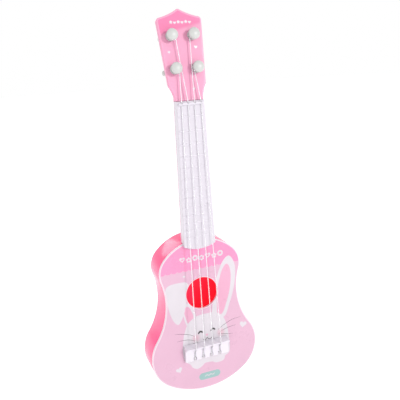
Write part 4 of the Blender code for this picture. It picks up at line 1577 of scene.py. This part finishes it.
@dataclass
class NeckShape:
    """Sizes that the neck, the fingerboard and the strings share, in the body's face frame."""

    nut_height: float
    end_height: float
    nut_width: float = 0.025
    end_width: float = 0.030
    board_out: float = 0.004
    top_wall: float = 0.0031
    side_wall: float = 0.002
    skirt: float = 0.004
    depth: float = 0.0075
    head_out: float = 0.0012
    head_thickness: float = 0.004
    nut_rise: float = 0.0009
    nut_length: float = 0.0022
    end_bulge: float = 0.0035

    def width(self, height: float) -> float:
        """The fingerboard's width at a height.

        Args:
            height: The height.

        Returns:
            The width.
        """
        low = self.end_height + self.end_bulge
        share = (self.nut_height - height) / (self.nut_height - low)
        return self.nut_width + (self.end_width - self.nut_width) * share

    def strip(self, low: float, high: float, margin: float) -> Loop:
        """A strip along the neck, narrower than the fingerboard by margin on each side."""
        return mirrored([(self.width(y) / 2 - margin, y) for y in (high, low)])


class HeadInk(Enum):
    """The inks on the head, by face number."""

    BARE = 0
    WHITE = 1
    FAINT = 2
    FRONT = 3


@dataclass
class Neck:
    """The pink moulding of neck back, heel, tongue and head."""

    bench: Bench
    shape: BodyShape
    neck: NeckShape
    fixings: Fixings
    heel_depth: float = 0.0135
    heel_length: float = 0.020
    heel_stations: tuple[Point, ...] = ((0.005, 0.0125), (0.012, 0.0098), (0.020, 0.0082))
    tongue_end: float = 0.020
    middle_depth: float = 0.0078
    volute: float = 0.019
    volute_start: float = 0.0021
    volute_middle: float = 0.0063
    volute_middle_size: Point = (0.0119, 0.0062)
    volute_end_half: float = 0.0083
    flare_sag: float = 0.0008
    kink: Point = (0.01675, 0.0135)
    shoulder: Point = (0.0201, 0.0692)
    corner_radius: float = 0.0032
    apex: float = 0.0768
    apex_radius: float = 0.0022
    shoulder_sag: float = 0.0011
    shaft_hole: float = 0.0024
    edge: Rim = Rim(0.0007, 0.0007, 5)

    def build(self) -> None:
        """Builds the moulding and prints on the head."""
        mesh = self._core()
        mesh = work_on(mesh, self._back(), Way.ADD)
        out = self.neck.board_out
        trim = plate(self.shape.outline(-SEAM), -self.bench.depth - OVERRUN, out)
        mesh = work_on(mesh, trim.mesh("trim"), Way.CUT)
        half = self.fixings.tongue_width / 2
        low = (-half, self.tongue_end, -self.fixings.tongue_back)
        high = (half, self.shape.top + self.heel_length / 3, -self.fixings.panel - SEAM)
        mesh = work_on(mesh, block(low, high).mesh("tongue"), Way.ADD)
        pilots = []
        for name, x, y, end, _seat in self.fixings.seats():
            if name.startswith("neck"):
                deep = end + self.fixings.entry + SEAM
                radius = self.fixings.shank_radius + SEAM
                pilots.append(rod(radius, end - OVERRUN, deep, shift(x, y), 24))
        mesh = work_on(mesh, merged("pilots", pilots), Way.CUT)
        mesh.transform(self.bench.face)
        head = self.bench.head(self.neck.head_out)
        mesh = work_on(mesh, self._head_plate(head), Way.ADD)
        holes = []
        for name in TUNERS:
            spot = self.bench.tuner_spot(name, head)
            deep = -self.neck.head_thickness - OVERRUN
            holes.append(rod(self.shaft_hole, deep, OVERRUN, shift(spot.x, spot.y), 32))
        mesh = work_on(mesh, merged("shaft_holes", holes, head), Way.CUT)
        sheet = PrintSheet(margin=0.0008, hole_margin=0.0003)
        self._draw(sheet)
        sheet.lay(mesh, head, least=0.0)
        piece = Piece("neck_and_head", Body.TOY, ("neck",), "head_pink")
        self.bench.set_down(piece, mesh, self._finishes(head))

    def _core(self) -> bpy.types.Mesh:
        """The strip under the fingerboard.

        Returns:
            Its mesh.
        """
        low = self.shape.top - 4 * self.shape.wall
        core = self.neck.strip(low, self.neck.nut_height + SEAM + OVERRUN, self.neck.side_wall + SEAM)
        top = self.neck.board_out - self.neck.top_wall - SEAM
        return plate(core, -self.neck.skirt - SEAM - OVERRUN, top).mesh("neck")

    def _back(self) -> bpy.types.Mesh:
        """The rounded back, from the heel to where it runs into the head.

        Returns:
            Its mesh.
        """
        drop = -self.neck.skirt - SEAM
        top, nut, depth = self.shape.top, self.neck.nut_height, self.neck.depth
        head_back = self.neck.head_out - self.neck.head_thickness
        head_back -= self.volute * math.tan(self.bench.tilt)
        low, middle = top - 4 * self.shape.wall, (top + nut) / 2
        stations = [(low, self.neck.width(top) / 2, self.heel_depth)]
        stations += [(top + up, self.neck.width(top + up) / 2, deep) for up, deep in self.heel_stations]
        stations += [
            (middle, self.neck.width(middle) / 2, self.middle_depth),
            (nut - self.volute_start, self.neck.nut_width / 2, depth),
            (nut + self.volute_middle, *self.volute_middle_size),
            (nut + self.volute, self.volute_end_half, drop - head_back + SEAM),
        ]
        loops = []
        for height, half, deep in smooth(stations, 6, closed=False):
            angles = [math.pi * i / 32 for i in range(33)]
            loops.append([(half * math.cos(a), height, drop - deep * math.sin(a)) for a in angles])
        return Form().stack(loops).mesh("neck_back")

    def outline(self) -> Loop:
        """The head, from the fingerboard's end up: a short flare, long sides, and hollow shoulders.

        Returns:
            A closed anticlockwise loop.
        """
        slope = bow((0.0, self.apex), self.shoulder, self.shoulder_sag, 24)
        tip = corner((-slope[2][0], slope[2][1]), slope[0], slope[2], self.apex_radius, 8)
        right = tip[len(tip) // 2 :] + slope[3:-4]
        right += corner(slope[-5], self.shoulder, self.kink, self.corner_radius, 10)
        right += bow(self.kink, (self.neck.nut_width / 2, 0.0), self.flare_sag, 12)
        return mirrored(right)

    def _head_plate(self, head: Matrix) -> bpy.types.Mesh:
        """The head's plate, cut square where the fingerboard ends.

        Args:
            head: The head's face frame.

        Returns:
            Its mesh, in the row frame.
        """
        mesh = plate(self.outline(), -self.neck.head_thickness, 0.0, self.edge).mesh("head_plate", head)
        reach, level = self.neck.nut_width, self.neck.nut_height + SEAM
        end = block((-reach, level - reach, -reach), (reach, level, reach)).mesh("end", self.bench.face)
        return work_on(mesh, end, Way.CUT)

    def _finishes(self, head: Matrix) -> list[Plastic]:
        """The head's plastic, with the deeper pink printed at its top, and the white ink.

        Args:
            head: The head's face frame.

        Returns:
            The finishes, in the order of HeadInk.
        """
        up = (head.to_3x3() @ Vector((-0.22, 1.0, 0.0))).normalized()
        start = up.dot(head @ Vector((0.0, 0.058, 0.0)))
        deep = Fade(HEAD_DEEP, tuple(up), start, start + 0.0035)
        plain = Plastic("neck_light_pink", HEAD_PINK, roughness=0.36, specular=0.35)
        front = Plastic("head_printed_pink", HEAD_PINK, roughness=0.42, specular=0.2, fades=(deep,))
        white = Plastic("head_ink_white", INK_WHITE, roughness=0.3, glow=(1.0, 0.9, 0.9))
        faint = Plastic("head_ink_faint", shade(INK_WHITE, 0.94), roughness=0.3, glow=(1.0, 0.8, 0.9))
        return [plain, white, faint, front]

    def _draw(self, sheet: PrintSheet) -> None:
        """Small shapes on the head. Places are in millimetres up from the nut.

        Args:
            sheet: What they are drawn on.
        """
        sheet.add(HeadInk.FRONT.value, offset(self.outline(), -OVERRUN))
        for i in range(6):
            at = (-7.5 + 3.3 * i, 65.2 + 0.35 * (-1) ** i)
            mark = heart(at, 2.6) if i % 2 else flower(at, 2.8, 5, 0.3)
            sheet.add(HeadInk.WHITE.value, scaled(mark))
        sheet.add(HeadInk.WHITE.value, scaled(heart((11.6, 44.0), 3.0, math.radians(-12))))
        sheet.add(HeadInk.FAINT.value, scaled(heart((-12.4, 41.0), 2.4, math.radians(12))))
        sheet.add(HeadInk.FAINT.value, scaled(heart((5.4, 9.6), 2.6)))


@dataclass
class Fingerboard:
    """The white cover over the neck, with moulded frets and a low nut."""

    bench: Bench
    shape: BodyShape
    neck: NeckShape
    scale_end: float
    fret_count: int = 13
    end_steps: int = 16
    fret_width: float = 0.0015
    fret_rise: float = 0.0003
    edge: Rim = Rim(0.0, 0.0008, 6)
    finish: Plastic = Plastic(
        "board_white", BOARD_WHITE, roughness=0.33, glow=(1.0, 0.95, 0.95), depth=0.12, mottle=0.012
    )

    def build(self) -> None:
        """Builds the cover."""
        neck = self.neck
        mesh = plate(self._outline(), -neck.skirt, neck.board_out, self.edge).mesh("fingerboard")
        strip = neck.strip(self.shape.top - OVERRUN, neck.nut_height + OVERRUN, neck.side_wall)
        channel = plate(strip, -neck.skirt - OVERRUN, neck.board_out - neck.top_wall)
        mesh = work_on(mesh, channel.mesh("channel"), Way.CUT)
        seat = plate(self.shape.outline(-SEAM), -neck.skirt - OVERRUN, SEAM)
        mesh = work_on(mesh, seat.mesh("seat"), Way.CUT)
        mesh = work_on(mesh, merged("frets", self._frets()), Way.ADD)
        mesh = work_on(mesh, self._nut().mesh("nut"), Way.ADD)
        mesh = work_on(mesh, merged("slots", self._slots()), Way.CUT)
        mesh.transform(self.bench.face)
        piece = Piece("fingerboard_cover", Body.TOY, ("fingerboard",), "board_white")
        self.bench.set_down(piece, mesh, [self.finish])

    def _outline(self) -> Loop:
        """The cover's outline, which ends over the body in a shallow bulge.

        Returns:
            A closed anticlockwise loop.
        """
        level = self.neck.end_height + self.neck.end_bulge
        half = self.neck.width(level) / 2
        end = bow((half, level), (-half, level), -self.neck.end_bulge, 2 * self.end_steps)
        right = end[: self.end_steps + 1]
        return mirrored([(self.neck.nut_width / 2, self.neck.nut_height)] + right)

    def _frets(self) -> list[Form]:
        """Low rounded bars at real fret distances.

        Returns:
            The bars.
        """
        scale = self.neck.nut_height - self.scale_end
        frets = []
        for fret in range(1, self.fret_count + 1):
            height = self.neck.nut_height - scale * (1 - 2 ** (-fret / 12))
            half = self.neck.width(height) / 2 - self.edge.high - SEAM
            turns = [math.pi * i / 12 for i in range(13)]
            bar = [(self.fret_width / 2, -self.fret_rise)]
            bar += [(self.fret_width / 2 * math.cos(a), self.fret_rise * math.sin(a) ** 2) for a in turns]
            bar += [(-self.fret_width / 2, -self.fret_rise)]
            form = plate(bar, -half, half, Rim(0.00012, 0.00012, 2, 0.2))
            form.work.transform(shift(0.0, height, self.neck.board_out) @ ALONG_X)
            frets.append(form)
        return frets

    def _nut(self) -> Form:
        """The nut's rounded ridge.

        Returns:
            The ridge.
        """
        neck = self.neck
        end = neck.nut_height - self.edge.high - SEAM
        half = neck.nut_width / 2 - self.edge.high - SEAM
        rise = neck.nut_rise + SEAM + STRING_RADIUS
        base, reach = end - neck.nut_length, neck.nut_length
        ridge = [(0.0, -self.fret_rise), (reach, -self.fret_rise)]
        ridge += corner((reach, 0.0), (reach, rise), (0.0, rise), 0.0005, 5)
        ridge += corner((reach, rise), (0.0, rise), (0.0, 0.0), 0.0008, 5)
        form = plate(ridge, -half, half, Rim(0.0003, 0.0003, 3))
        form.work.transform(shift(0.0, base, neck.board_out) @ ALONG_X)
        return form

    def _slots(self) -> list[Form]:
        """The four string slots in the nut.

        Returns:
            Their cutters.
        """
        neck, clear = self.neck, STRING_RADIUS + SEAM
        slots = []
        for index in range(STRING_COUNT):
            x = string_side(index, NUT_PITCH)
            floor = arc((0.0, 0.0), clear, 1.5 * math.pi, 0.5 * math.pi, math.radians(20))
            groove = [(a, b + neck.nut_rise) for a, b in floor]
            groove += [(clear, 2 * OVERRUN), (-clear, 2 * OVERRUN)]
            form = plate(groove, -OVERRUN - neck.nut_length, OVERRUN)
            form.work.transform(shift(x, neck.nut_height, neck.board_out) @ ALONG_Y)
            slots.append(form)
        return slots


@dataclass
class Bridge:
    """The white bridge: a saddle ridge, a sloping block with string grooves, and knot pockets."""

    bench: Bench
    saddle_length: float = 0.003
    saddle_edge: float = 0.0012
    crest_length: float = 0.0017
    crest_edge: float = 0.0008
    block_rise: float = 0.0050
    foot_rise: float = 0.0034
    block_edge: float = 0.0010
    groove_width: float = 0.0018
    groove_depth: float = 0.0013
    pocket_radius: float = 0.0017
    pocket_length: float = 0.0042
    pin_radius: float = 0.0015
    pin_length: float = 0.0035
    pin_root: float = 5 * SEAM
    pin_spacing: float = 0.030
    finish: Plastic = Plastic(
        "bridge_white", BRIDGE_WHITE, roughness=0.33, glow=(1.0, 0.95, 0.95), depth=0.12, mottle=0.012
    )

    def __post_init__(self) -> None:
        """Takes the outer sizes from the frame."""
        low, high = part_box("bridge")
        self.width = high.x - low.x
        self.top, self.foot = high.z, low.z
        self.saddle_rise = self.bench.face_y - low.y
        self.ridge = self.top - self.saddle_length

    def slope(self) -> float:
        """How much the block rises along its length."""
        return (self.block_rise - self.foot_rise) / (self.ridge - self.foot)

    def build(self) -> None:
        """Builds the bridge."""
        bends = [
            ((self.ridge + self.crest_length, self.saddle_rise), self.crest_edge),
            ((self.ridge, self.saddle_rise), self.crest_edge),
            ((self.ridge, self.block_rise), self.block_edge),
            ((self.foot, self.foot_rise), self.block_edge),
        ]
        line = [(self.foot, SEAM), (self.top, SEAM)] + [spot for spot, _r in bends] + [(self.foot, SEAM)]
        profile = line[:2]
        for i, (spot, radius) in enumerate(bends):
            profile += corner(line[i + 1], spot, line[i + 3], radius, 6)
        form = plate(profile, -self.width / 2, self.width / 2, Rim(0.0004, 0.0004, 4))
        mesh = form.mesh("bridge", ALONG_X)
        grooves, pockets = [], []
        for index in range(STRING_COUNT):
            x = string_side(index, SADDLE_PITCH)
            grooves.append(self._groove(x))
            low = (x - self.pocket_radius, self.foot - OVERRUN, -OVERRUN)
            high = (x + self.pocket_radius, self.foot + self.pocket_length, self.block_rise)
            pockets.append(block(low, high))
        mesh = work_on(mesh, merged("grooves", grooves), Way.CUT)
        mesh = work_on(mesh, merged("pockets", pockets), Way.CUT)
        pins = []
        for side in (-1, 1):
            place = shift(side * self.pin_spacing / 2, (self.top + self.foot) / 2)
            pins.append(rod(self.pin_radius, -self.pin_length, self.pin_root, place, 24))
        mesh = work_on(mesh, merged("pins", pins), Way.ADD)
        mesh.transform(self.bench.face)
        piece = Piece("bridge_moulding", Body.TOY, ("bridge",), "bridge_white")
        self.bench.set_down(piece, mesh, [self.finish])

    def _groove(self, x: float) -> Form:
        """The cutter of one groove, round at its floor, which follows the block's slope.

        Args:
            x: How far to the right of the centre line it lies.

        Returns:
            The cutter.
        """
        half = self.groove_width / 2
        floor = arc((0.0, half - self.groove_depth), half, 1.5 * math.pi, 0.5 * math.pi, math.radians(20))
        outline = floor + [(half, OVERRUN), (-half, OVERRUN)]
        form = plate(outline, 0.0, self.ridge - self.foot + OVERRUN)
        lean = Matrix.Rotation(math.atan(self.slope()), 4, "X")
        form.work.transform(shift(x, self.ridge, self.block_rise) @ lean @ ALONG_Y)
        return form


@dataclass
class Strings:
    """Four nylon strings, each from its knot in the bridge to its tuner."""

    bench: Bench
    neck: NeckShape
    bridge: Bridge
    tuner: TunerShape
    radius: float = STRING_RADIUS
    knot_radius: float = 0.0011
    climb: float = 0.0036
    kink_radius: float = 0.002
    finish: Plastic = Plastic(
        "nylon_line",
        NYLON_WHITE,
        roughness=0.18,
        glow=(1.0, 1.0, 1.0),
        depth=0.0,
        grain=0.02,
        scuffs=0.0,
        transmission=0.45,
    )

    def build(self) -> None:
        """Builds the four strings."""
        for index in range(STRING_COUNT):
            line, radii = self._route(index)
            mesh = Form().tube(line, radii, 14).mesh(f"string_{index + 1}", self.bench.face)
            piece = Piece(f"nylon_string_{index + 1}", Body.TOY, (f"string_{index + 1}",), "nylon")
            self.bench.set_down(piece, mesh, [self.finish])

    def _route(self, index: int) -> tuple[list[Vector], list[float]]:
        """A string's middle line and radii in the body's face frame.

        Args:
            index: The string's number from the left.

        Returns:
            Its points, from the knot to the tuner, and its radius at each.
        """
        bridge, neck, above = self.bridge, self.neck, SEAM + self.radius
        side = string_side(index, SADDLE_PITCH)
        nut_side = string_side(index, NUT_PITCH)
        groove = bridge.foot_rise - bridge.groove_depth + above
        knot = bridge.foot + bridge.pocket_length - self.knot_radius - SEAM
        out = groove + bridge.slope() * bridge.pocket_length
        line, radii = [], []
        for i in range(13):
            share = -1 + i / 6
            swell = self.knot_radius * (0.25 + 0.75 * math.sqrt(max(0.0, 1 - share**2)))
            line.append(Vector((side, knot + share * self.knot_radius, out)))
            radii.append(max(swell * (1 + 0.1 * math.cos(9 * share)), self.radius))
        start = bridge.ridge - self.climb
        leave = (start, groove + bridge.slope() * (start - bridge.foot) + SEAM)
        crest = (bridge.ridge + bridge.saddle_edge, bridge.saddle_rise - bridge.saddle_edge)
        bend = bridge.saddle_edge + above
        rise = math.atan2(crest[1] - leave[1], crest[0] - leave[0])
        touch = math.acos(bend / math.dist(leave, crest)) - rise
        foot = line[-1].yz.to_tuple()
        first = (crest[0] - bend * math.sin(math.pi / 2 - touch), crest[1] + bend * math.sin(touch))
        over = corner(foot, leave, first, self.kink_radius, 6)
        over += arc(crest, bend, touch - math.pi / 2, 0.0, math.radians(6))
        line += [Vector((side, *spot)) for spot in over]
        line.append(Vector((side, bridge.top - bridge.saddle_edge, bridge.saddle_rise + above)))
        nut_out = neck.board_out + neck.nut_rise
        line.append(Vector((nut_side, neck.nut_height - neck.nut_length, nut_out)))
        line.append(Vector((nut_side, neck.nut_height - SEAM, nut_out)))
        line.append(self._end(index, line[-1]))
        line = self._subdivided(line)
        return line, radii + [self.radius] * (len(line) - len(radii))

    def _end(self, index: int, start: Vector) -> Vector:
        """Where a string stops, just short of its winding.

        Args:
            index: The string's number from the left.
            start: Where it leaves the nut.

        Returns:
            The point.
        """
        tuner = self.tuner
        head = self.bench.head(self.neck.head_out)
        spot = self.bench.tuner_spot(TUNERS[index], head)
        wound = tuner.winding_radius(self.radius)
        inner = spot.x - math.copysign(wound, spot.x)
        height = tuner.winding_start(self.radius) + tuner.pitch * tuner.turns / 2
        end = self.bench.face.inverted() @ head @ Vector((inner, spot.y, height))
        reach = wound + self.radius + SEAM
        gap = math.sqrt(reach**2 - (wound - self.radius) ** 2)
        return end + (start - end).normalized() * gap

    @staticmethod
    def _subdivided(line: list[Vector]) -> list[Vector]:
        """The line with extra points close to each end of its long straight runs.

        Args:
            line: Its points.

        Returns:
            All the points.
        """
        found = [line[0]]
        for first, second in zip(line, line[1:]):
            length = (second - first).length
            if length > LONG_RUN:
                near = RUN_END / length
                for share in (near, 0.25, 0.5, 0.75, 1 - near):
                    found.append(first.lerp(second, share))
            found.append(second)
        return found


# Tuners.


@dataclass
class TunerShape:
    """Sizes of one tuner, on the head's face frame with its axis at the origin."""

    collar_radius: float = 0.0042
    collar_rise: float = 0.0010
    waist_radius: float = 0.0025
    cap_radius: float = 0.0049
    cap_band: float = 0.0013
    cap_dome: float = 0.0024
    shaft_radius: float = 0.0021
    hub_radius: float = 0.0042
    hub_length: float = 0.0032
    blade_length: float = 0.0105
    stem_width: float = 0.0066
    key_width: float = 0.0140
    key_thickness: float = 0.0044
    socket_depth: float = 0.0065
    cap_ease: float = 0.0005
    neck_fillet: float = 0.0006
    key_edge: float = 0.0005
    hub_ease: float = 0.0005
    waisted: float = 0.001
    turns: float = 2.25
    pitch: float = 0.00115
    string_radius: float = STRING_RADIUS
    head_thickness: float = 0.004

    def winding_radius(self, string_radius: float) -> float:
        """Radius of the middle line of the wound string."""
        return self.waist_radius + SEAM + string_radius

    def winding_start(self, string_radius: float) -> float:
        """Height at which the winding begins."""
        return self.collar_rise + SEAM + string_radius

    def cap_base(self) -> float:
        """Height at which the cap begins, just above the winding."""
        wound = self.winding_start(self.string_radius) + self.pitch * self.turns
        return wound + self.string_radius + 2 * SEAM


@dataclass
class Tuners:
    """Four friction tuners: a mushroom-capped post, a key behind the head, and the wound string."""

    bench: Bench
    neck: NeckShape
    shape: TunerShape
    key_turns: dict[str, float]
    string_finish: Plastic
    finish: Plastic = Plastic(
        "peg_white", PEG_WHITE, roughness=0.36, glow=(1.0, 1.0, 0.95), depth=0.15, mottle=0.02, grain=0.06
    )

    def build(self) -> None:
        """Builds the three pieces of each tuner."""
        head = self.bench.head(self.neck.head_out)
        for name in TUNERS:
            spot = self.bench.tuner_spot(name, head)
            place = head @ shift(spot.x, spot.y)
            body = Body(f"tuner_{name}")
            post = Form().lathe(self._post(), 64).mesh("post", place)
            peg = Piece(f"tuner_post_{name}", body, (f"peg_{name}",), "peg_white")
            self.bench.set_down(peg, post, [self.finish])
            key = self._key()
            key.transform(place @ Matrix.Rotation(self.key_turns[name], 4, "Z"))
            handle = Piece(f"tuner_key_{name}", body, (f"key_{name}",), "peg_white")
            self.bench.set_down(handle, key, [self.finish])
            wound = self._winding(-math.copysign(1.0, spot.x))
            wound.transform(place)
            coil = Piece(f"string_winding_{name}", body, (f"winding_{name}",), "nylon")
            self.bench.set_down(coil, wound, [self.string_finish])

    def _post(self) -> Loop:
        """The post's profile, from the top of its cap down to the end of its shaft.

        Returns:
            Its points, as (radius, height).
        """
        shape = self.shape
        base, radius, waist = shape.cap_base(), shape.cap_radius, shape.waist_radius
        turns = quarter(14)
        crown = base + shape.cap_band
        dome = [(radius * math.sin(a), crown + shape.cap_dome * math.cos(a)) for a in turns]
        ease = shape.cap_ease
        under = [(radius - ease * (1 - math.cos(a)), base + ease * (1 - math.sin(a))) for a in turns[::3]]
        neck = shape.neck_fillet
        fillet = [(waist + neck * (1 - math.sin(a)), base - neck * (1 - math.cos(a))) for a in turns[::3]]
        rise, collar = shape.collar_rise, shape.collar_radius
        lip = [(collar - SEAM * (1 - math.sin(a)), rise - SEAM * (1 - math.cos(a))) for a in turns[::4]]
        end = -shape.head_thickness - shape.socket_depth
        shaft = shape.shaft_radius
        foot = [(collar, SEAM), (shaft, SEAM), (shaft, end + SEAM), (shaft - SEAM, end), (0.0, end)]
        return dome + under + fillet + [(waist, rise)] + lip + foot

    def _key(self) -> bpy.types.Mesh:
        """A key: a round hub, and a rounded blade that opens into an oval.

        Returns:
            Its mesh on the tuner's axis.
        """
        shape = self.shape
        back = -shape.head_thickness - SEAM
        top = back - shape.hub_length / 2
        end = back - shape.hub_length - shape.blade_length
        oval = (top + end) / 2 - shape.hub_length / 2
        bulge, half, stem = abs(end - oval), shape.key_width / 2, shape.stem_width / 2
        angles = [math.radians(38 + 142 * i / 24) for i in range(25)]
        right = [(stem, top), (stem, end + 2 * bulge - shape.waisted)]
        right += [(half * math.sin(a), oval + bulge * math.cos(a)) for a in angles]
        edge = shape.key_thickness / 2 - shape.key_edge
        blade = plate(mirrored(right), -shape.key_thickness / 2, shape.key_thickness / 2, Rim(edge, edge, 7))
        blade.work.transform(Matrix.Rotation(math.radians(90), 4, "X"))
        ease = shape.hub_ease
        turns = quarter(4)
        low, radius = back - shape.hub_length, shape.hub_radius
        hub = [(radius, back)]
        hub += [(radius - ease * (1 - math.cos(a)), low + ease * (1 - math.sin(a))) for a in turns]
        mesh = work_on(blade.mesh("key"), Form().lathe([*hub, (0.0, low)], 48).mesh("hub"), Way.ADD)
        socket = rod(shape.shaft_radius + SEAM, back - shape.socket_depth, back + OVERRUN, Matrix(), 32)
        return work_on(mesh, socket.mesh("socket"), Way.CUT)

    def _winding(self, side: float) -> bpy.types.Mesh:
        """The wound string.

        Args:
            side: 1 or -1, for which side of the post it starts on and which way it turns.

        Returns:
            Its mesh on the tuner's axis.
        """
        shape, radius = self.shape, self.shape.string_radius
        reach, start = shape.winding_radius(radius), shape.winding_start(radius)
        count = round(TURN_STEPS * shape.turns)
        line = []
        for i in range(count + 1):
            a = side * math.tau * i / TURN_STEPS
            spot = (side * reach * math.cos(a), reach * math.sin(a), start + shape.pitch * i / TURN_STEPS)
            line.append(Vector(spot))
        return Form().tube(line, [radius] * len(line), 14).mesh("winding")


@dataclass
class Screws:
    """Eight self-tapping pan-head screws, seen in the recesses of the back."""

    bench: Bench
    fixings: Fixings
    pitch: float = 0.0011
    thread: float = 0.0002
    cross_width: float = 0.0008
    cross_reach: float = 0.0016
    cross_depth: float = 0.0011
    finish: Steel = Steel("screw_zinc")

    def build(self) -> None:
        """Builds the eight screws."""
        for name, x, y, _end, seat in self.fixings.seats():
            mesh = self._screw()
            turn = Matrix.Rotation(math.pi, 4, "X") @ Matrix.Rotation(math.radians(37) * x / MM, 4, "Z")
            mesh.transform(self.bench.face @ shift(x, y, seat - 2 * SEAM) @ turn)
            piece = Piece(f"{name}_threaded", Body.TOY, (name,), "screw_steel")
            self.bench.set_down(piece, mesh, [self.finish])

    def _screw(self) -> bpy.types.Mesh:
        """One screw, head up, with the origin where its head rests.

        Returns:
            Its mesh.
        """
        radius, height = self.fixings.head_radius, self.fixings.head_height
        turns = quarter(8)
        crown = [(radius * math.sin(a), height * (0.35 + 0.65 * math.cos(a))) for a in turns]
        head = Form().lathe([*crown, (radius, 0.0), (0.0, 0.0)], 40).mesh("screw")
        half, reach, deep = self.cross_width / 2, self.cross_reach, height - self.cross_depth
        for low, high in (((-reach, -half), (reach, half)), ((-half, -reach), (half, reach))):
            slot = block((*low, deep), (*high, height + OVERRUN)).mesh("slot")
            head = work_on(head, slot, Way.CUT)
        return work_on(head, self._shank().mesh("shank"), Way.ADD)

    def _shank(self) -> Form:
        """The threaded shank and its point.

        Returns:
            The shank.
        """
        length, core = self.fixings.length + SUPPORT, self.fixings.shank_radius - self.thread / 2
        rows, sides = 110, 20
        loops = []
        for row in range(rows + 1):
            down = length * row / rows
            point = min(1.0, (length - down) / (3 * core) + 0.03)
            loop = []
            for k in range(sides):
                phase = (down / self.pitch - k / sides) % 1.0
                crest = self.thread * max(0.0, 1 - abs(phase - 0.5) * 4) if row > 8 else 0.0
                reach, a = (core + crest) * point, math.tau * k / sides
                loop.append((reach * math.cos(a), reach * math.sin(a), SUPPORT - down))
            loops.append(loop)
        return Form().stack(loops)


# The room.


@dataclass
class Studio:
    """A plain white floor, an even surround, softboxes and the camera."""

    floor_height: float
    surround: float = 1.0
    camera_place: Place = (-0.1550, -0.4640, 0.2135)
    camera_way: Place = (0.3326, 0.9065, -0.2603)
    camera_up: Place = (0.1503, 0.2215, 0.9635)
    lens: float = 48.31

    def build(self) -> None:
        """Sets the room up."""
        self._floor()
        self._surround()
        self._softbox("softbox_key", (0.57, -1.21, 0.60), (0.0, -0.02, 0.0), (0.14, 0.14), 7.8)
        self._softbox("softbox_left", (-0.95, 0.10, 0.55), (0.0, -0.02, 0.02), (0.25, 0.9), 1.0)
        self._softbox("softbox_back", (-0.30, 1.02, 0.62), (0.0, -0.02, 0.02), (0.5, 0.4), 1.8)
        self._camera()
        bpy.context.scene.view_settings.view_transform = "Standard"

    def _floor(self) -> None:
        """A wide white disc under the toy."""
        rings = [0.0, 0.3, 0.8, 1.6, 3.0, 6.0]
        form = Form()
        form.lathe([(0.0, 0.0)] + [(r, 0.0) for r in rings[1:]] + [(rings[-1], -0.02), (0.0, -0.02)], 64)
        mesh = form.mesh("floor", shift(0.0, 0.0, self.floor_height))
        wires = Wiring("floor_white")
        cloud = wires.spread(wires.noise(0.4, 2.0), 0.0, 1.0)
        tint = wires.blend(cloud, (0.93, 0.93, 0.93), (0.95, 0.95, 0.95))
        wires.join(tint, wires.shader.inputs["Base Color"])
        wires.shader.inputs["Roughness"].default_value = 0.9
        wires.shader.inputs["Emission Color"].default_value = (1.0, 1.0, 1.0, 1.0)
        wires.shader.inputs["Emission Strength"].default_value = 0.3
        mesh.materials.append(wires.material)
        floor = bpy.data.objects.new("floor", mesh)
        bpy.context.scene.collection.objects.link(floor)

    def _surround(self) -> None:
        """An even white surround."""
        world = bpy.data.worlds.new("surround")
        bpy.context.scene.world = world
        world.use_nodes = True
        sky = world.node_tree.nodes["Background"]
        sky.inputs["Color"].default_value = (1.0, 1.0, 1.0, 1.0)
        sky.inputs["Strength"].default_value = self.surround

    @staticmethod
    def _softbox(name: str, place: Place, target: Place, size: Point, power: float) -> None:
        """A rectangular softbox.

        Args:
            name: Its name.
            place: Where it stands.
            target: What it points at.
            size: Width and height.
            power: Power in watts.
        """
        light = bpy.data.lights.new(name, "AREA")
        light.shape = "RECTANGLE"
        light.size, light.size_y = size
        light.energy = power
        box = bpy.data.objects.new(name, light)
        bpy.context.scene.collection.objects.link(box)
        box.location = place
        box.rotation_euler = (Vector(target) - Vector(place)).to_track_quat("-Z", "Y").to_euler()

    def _camera(self) -> None:
        """The camera."""
        data = bpy.data.cameras.new("camera")
        data.lens = self.lens
        data.sensor_width = 36.0
        data.clip_start = 0.01
        camera = bpy.data.objects.new("camera", data)
        bpy.context.scene.collection.objects.link(camera)
        back = -Vector(self.camera_way).normalized()
        side = Vector(self.camera_up).cross(back).normalized()
        up = back.cross(side)
        turn = Matrix((side, up, back)).transposed().to_4x4()
        camera.matrix_world = Matrix.Translation(self.camera_place) @ turn
        bpy.context.scene.camera = camera


def main() -> None:
    """Builds the toy and its room."""
    logging.basicConfig(level=logging.INFO, format="%(name)s: %(message)s")
    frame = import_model()
    bench = Bench(frame)
    low, high = bench.panel_box
    shape = BodyShape(lower_width=high.x - low.x, top=high.z, bottom=low.z)
    fixings = Fixings(shape)
    neck = NeckShape(nut_height=bench.nut_height, end_height=bench.board_low)
    tuner = TunerShape()
    BackShell(bench, shape, fixings).build()
    FrontPanel(bench, shape, fixings).build()
    Neck(bench, shape, neck, fixings).build()
    bridge = Bridge(bench)
    bridge.build()
    Fingerboard(bench, shape, neck, scale_end=bridge.top).build()
    strings = Strings(bench, neck, bridge, tuner)
    strings.build()
    turns = dict(zip(TUNERS, (math.radians(a) for a in (2, -16, 24, 8))))
    Tuners(bench, neck, tuner, turns, strings.finish).build()
    Screws(bench, fixings).build()
    Studio(floor_height=low.z - FLOOR_GAP).build()


if __name__ == "__main__":
    main()
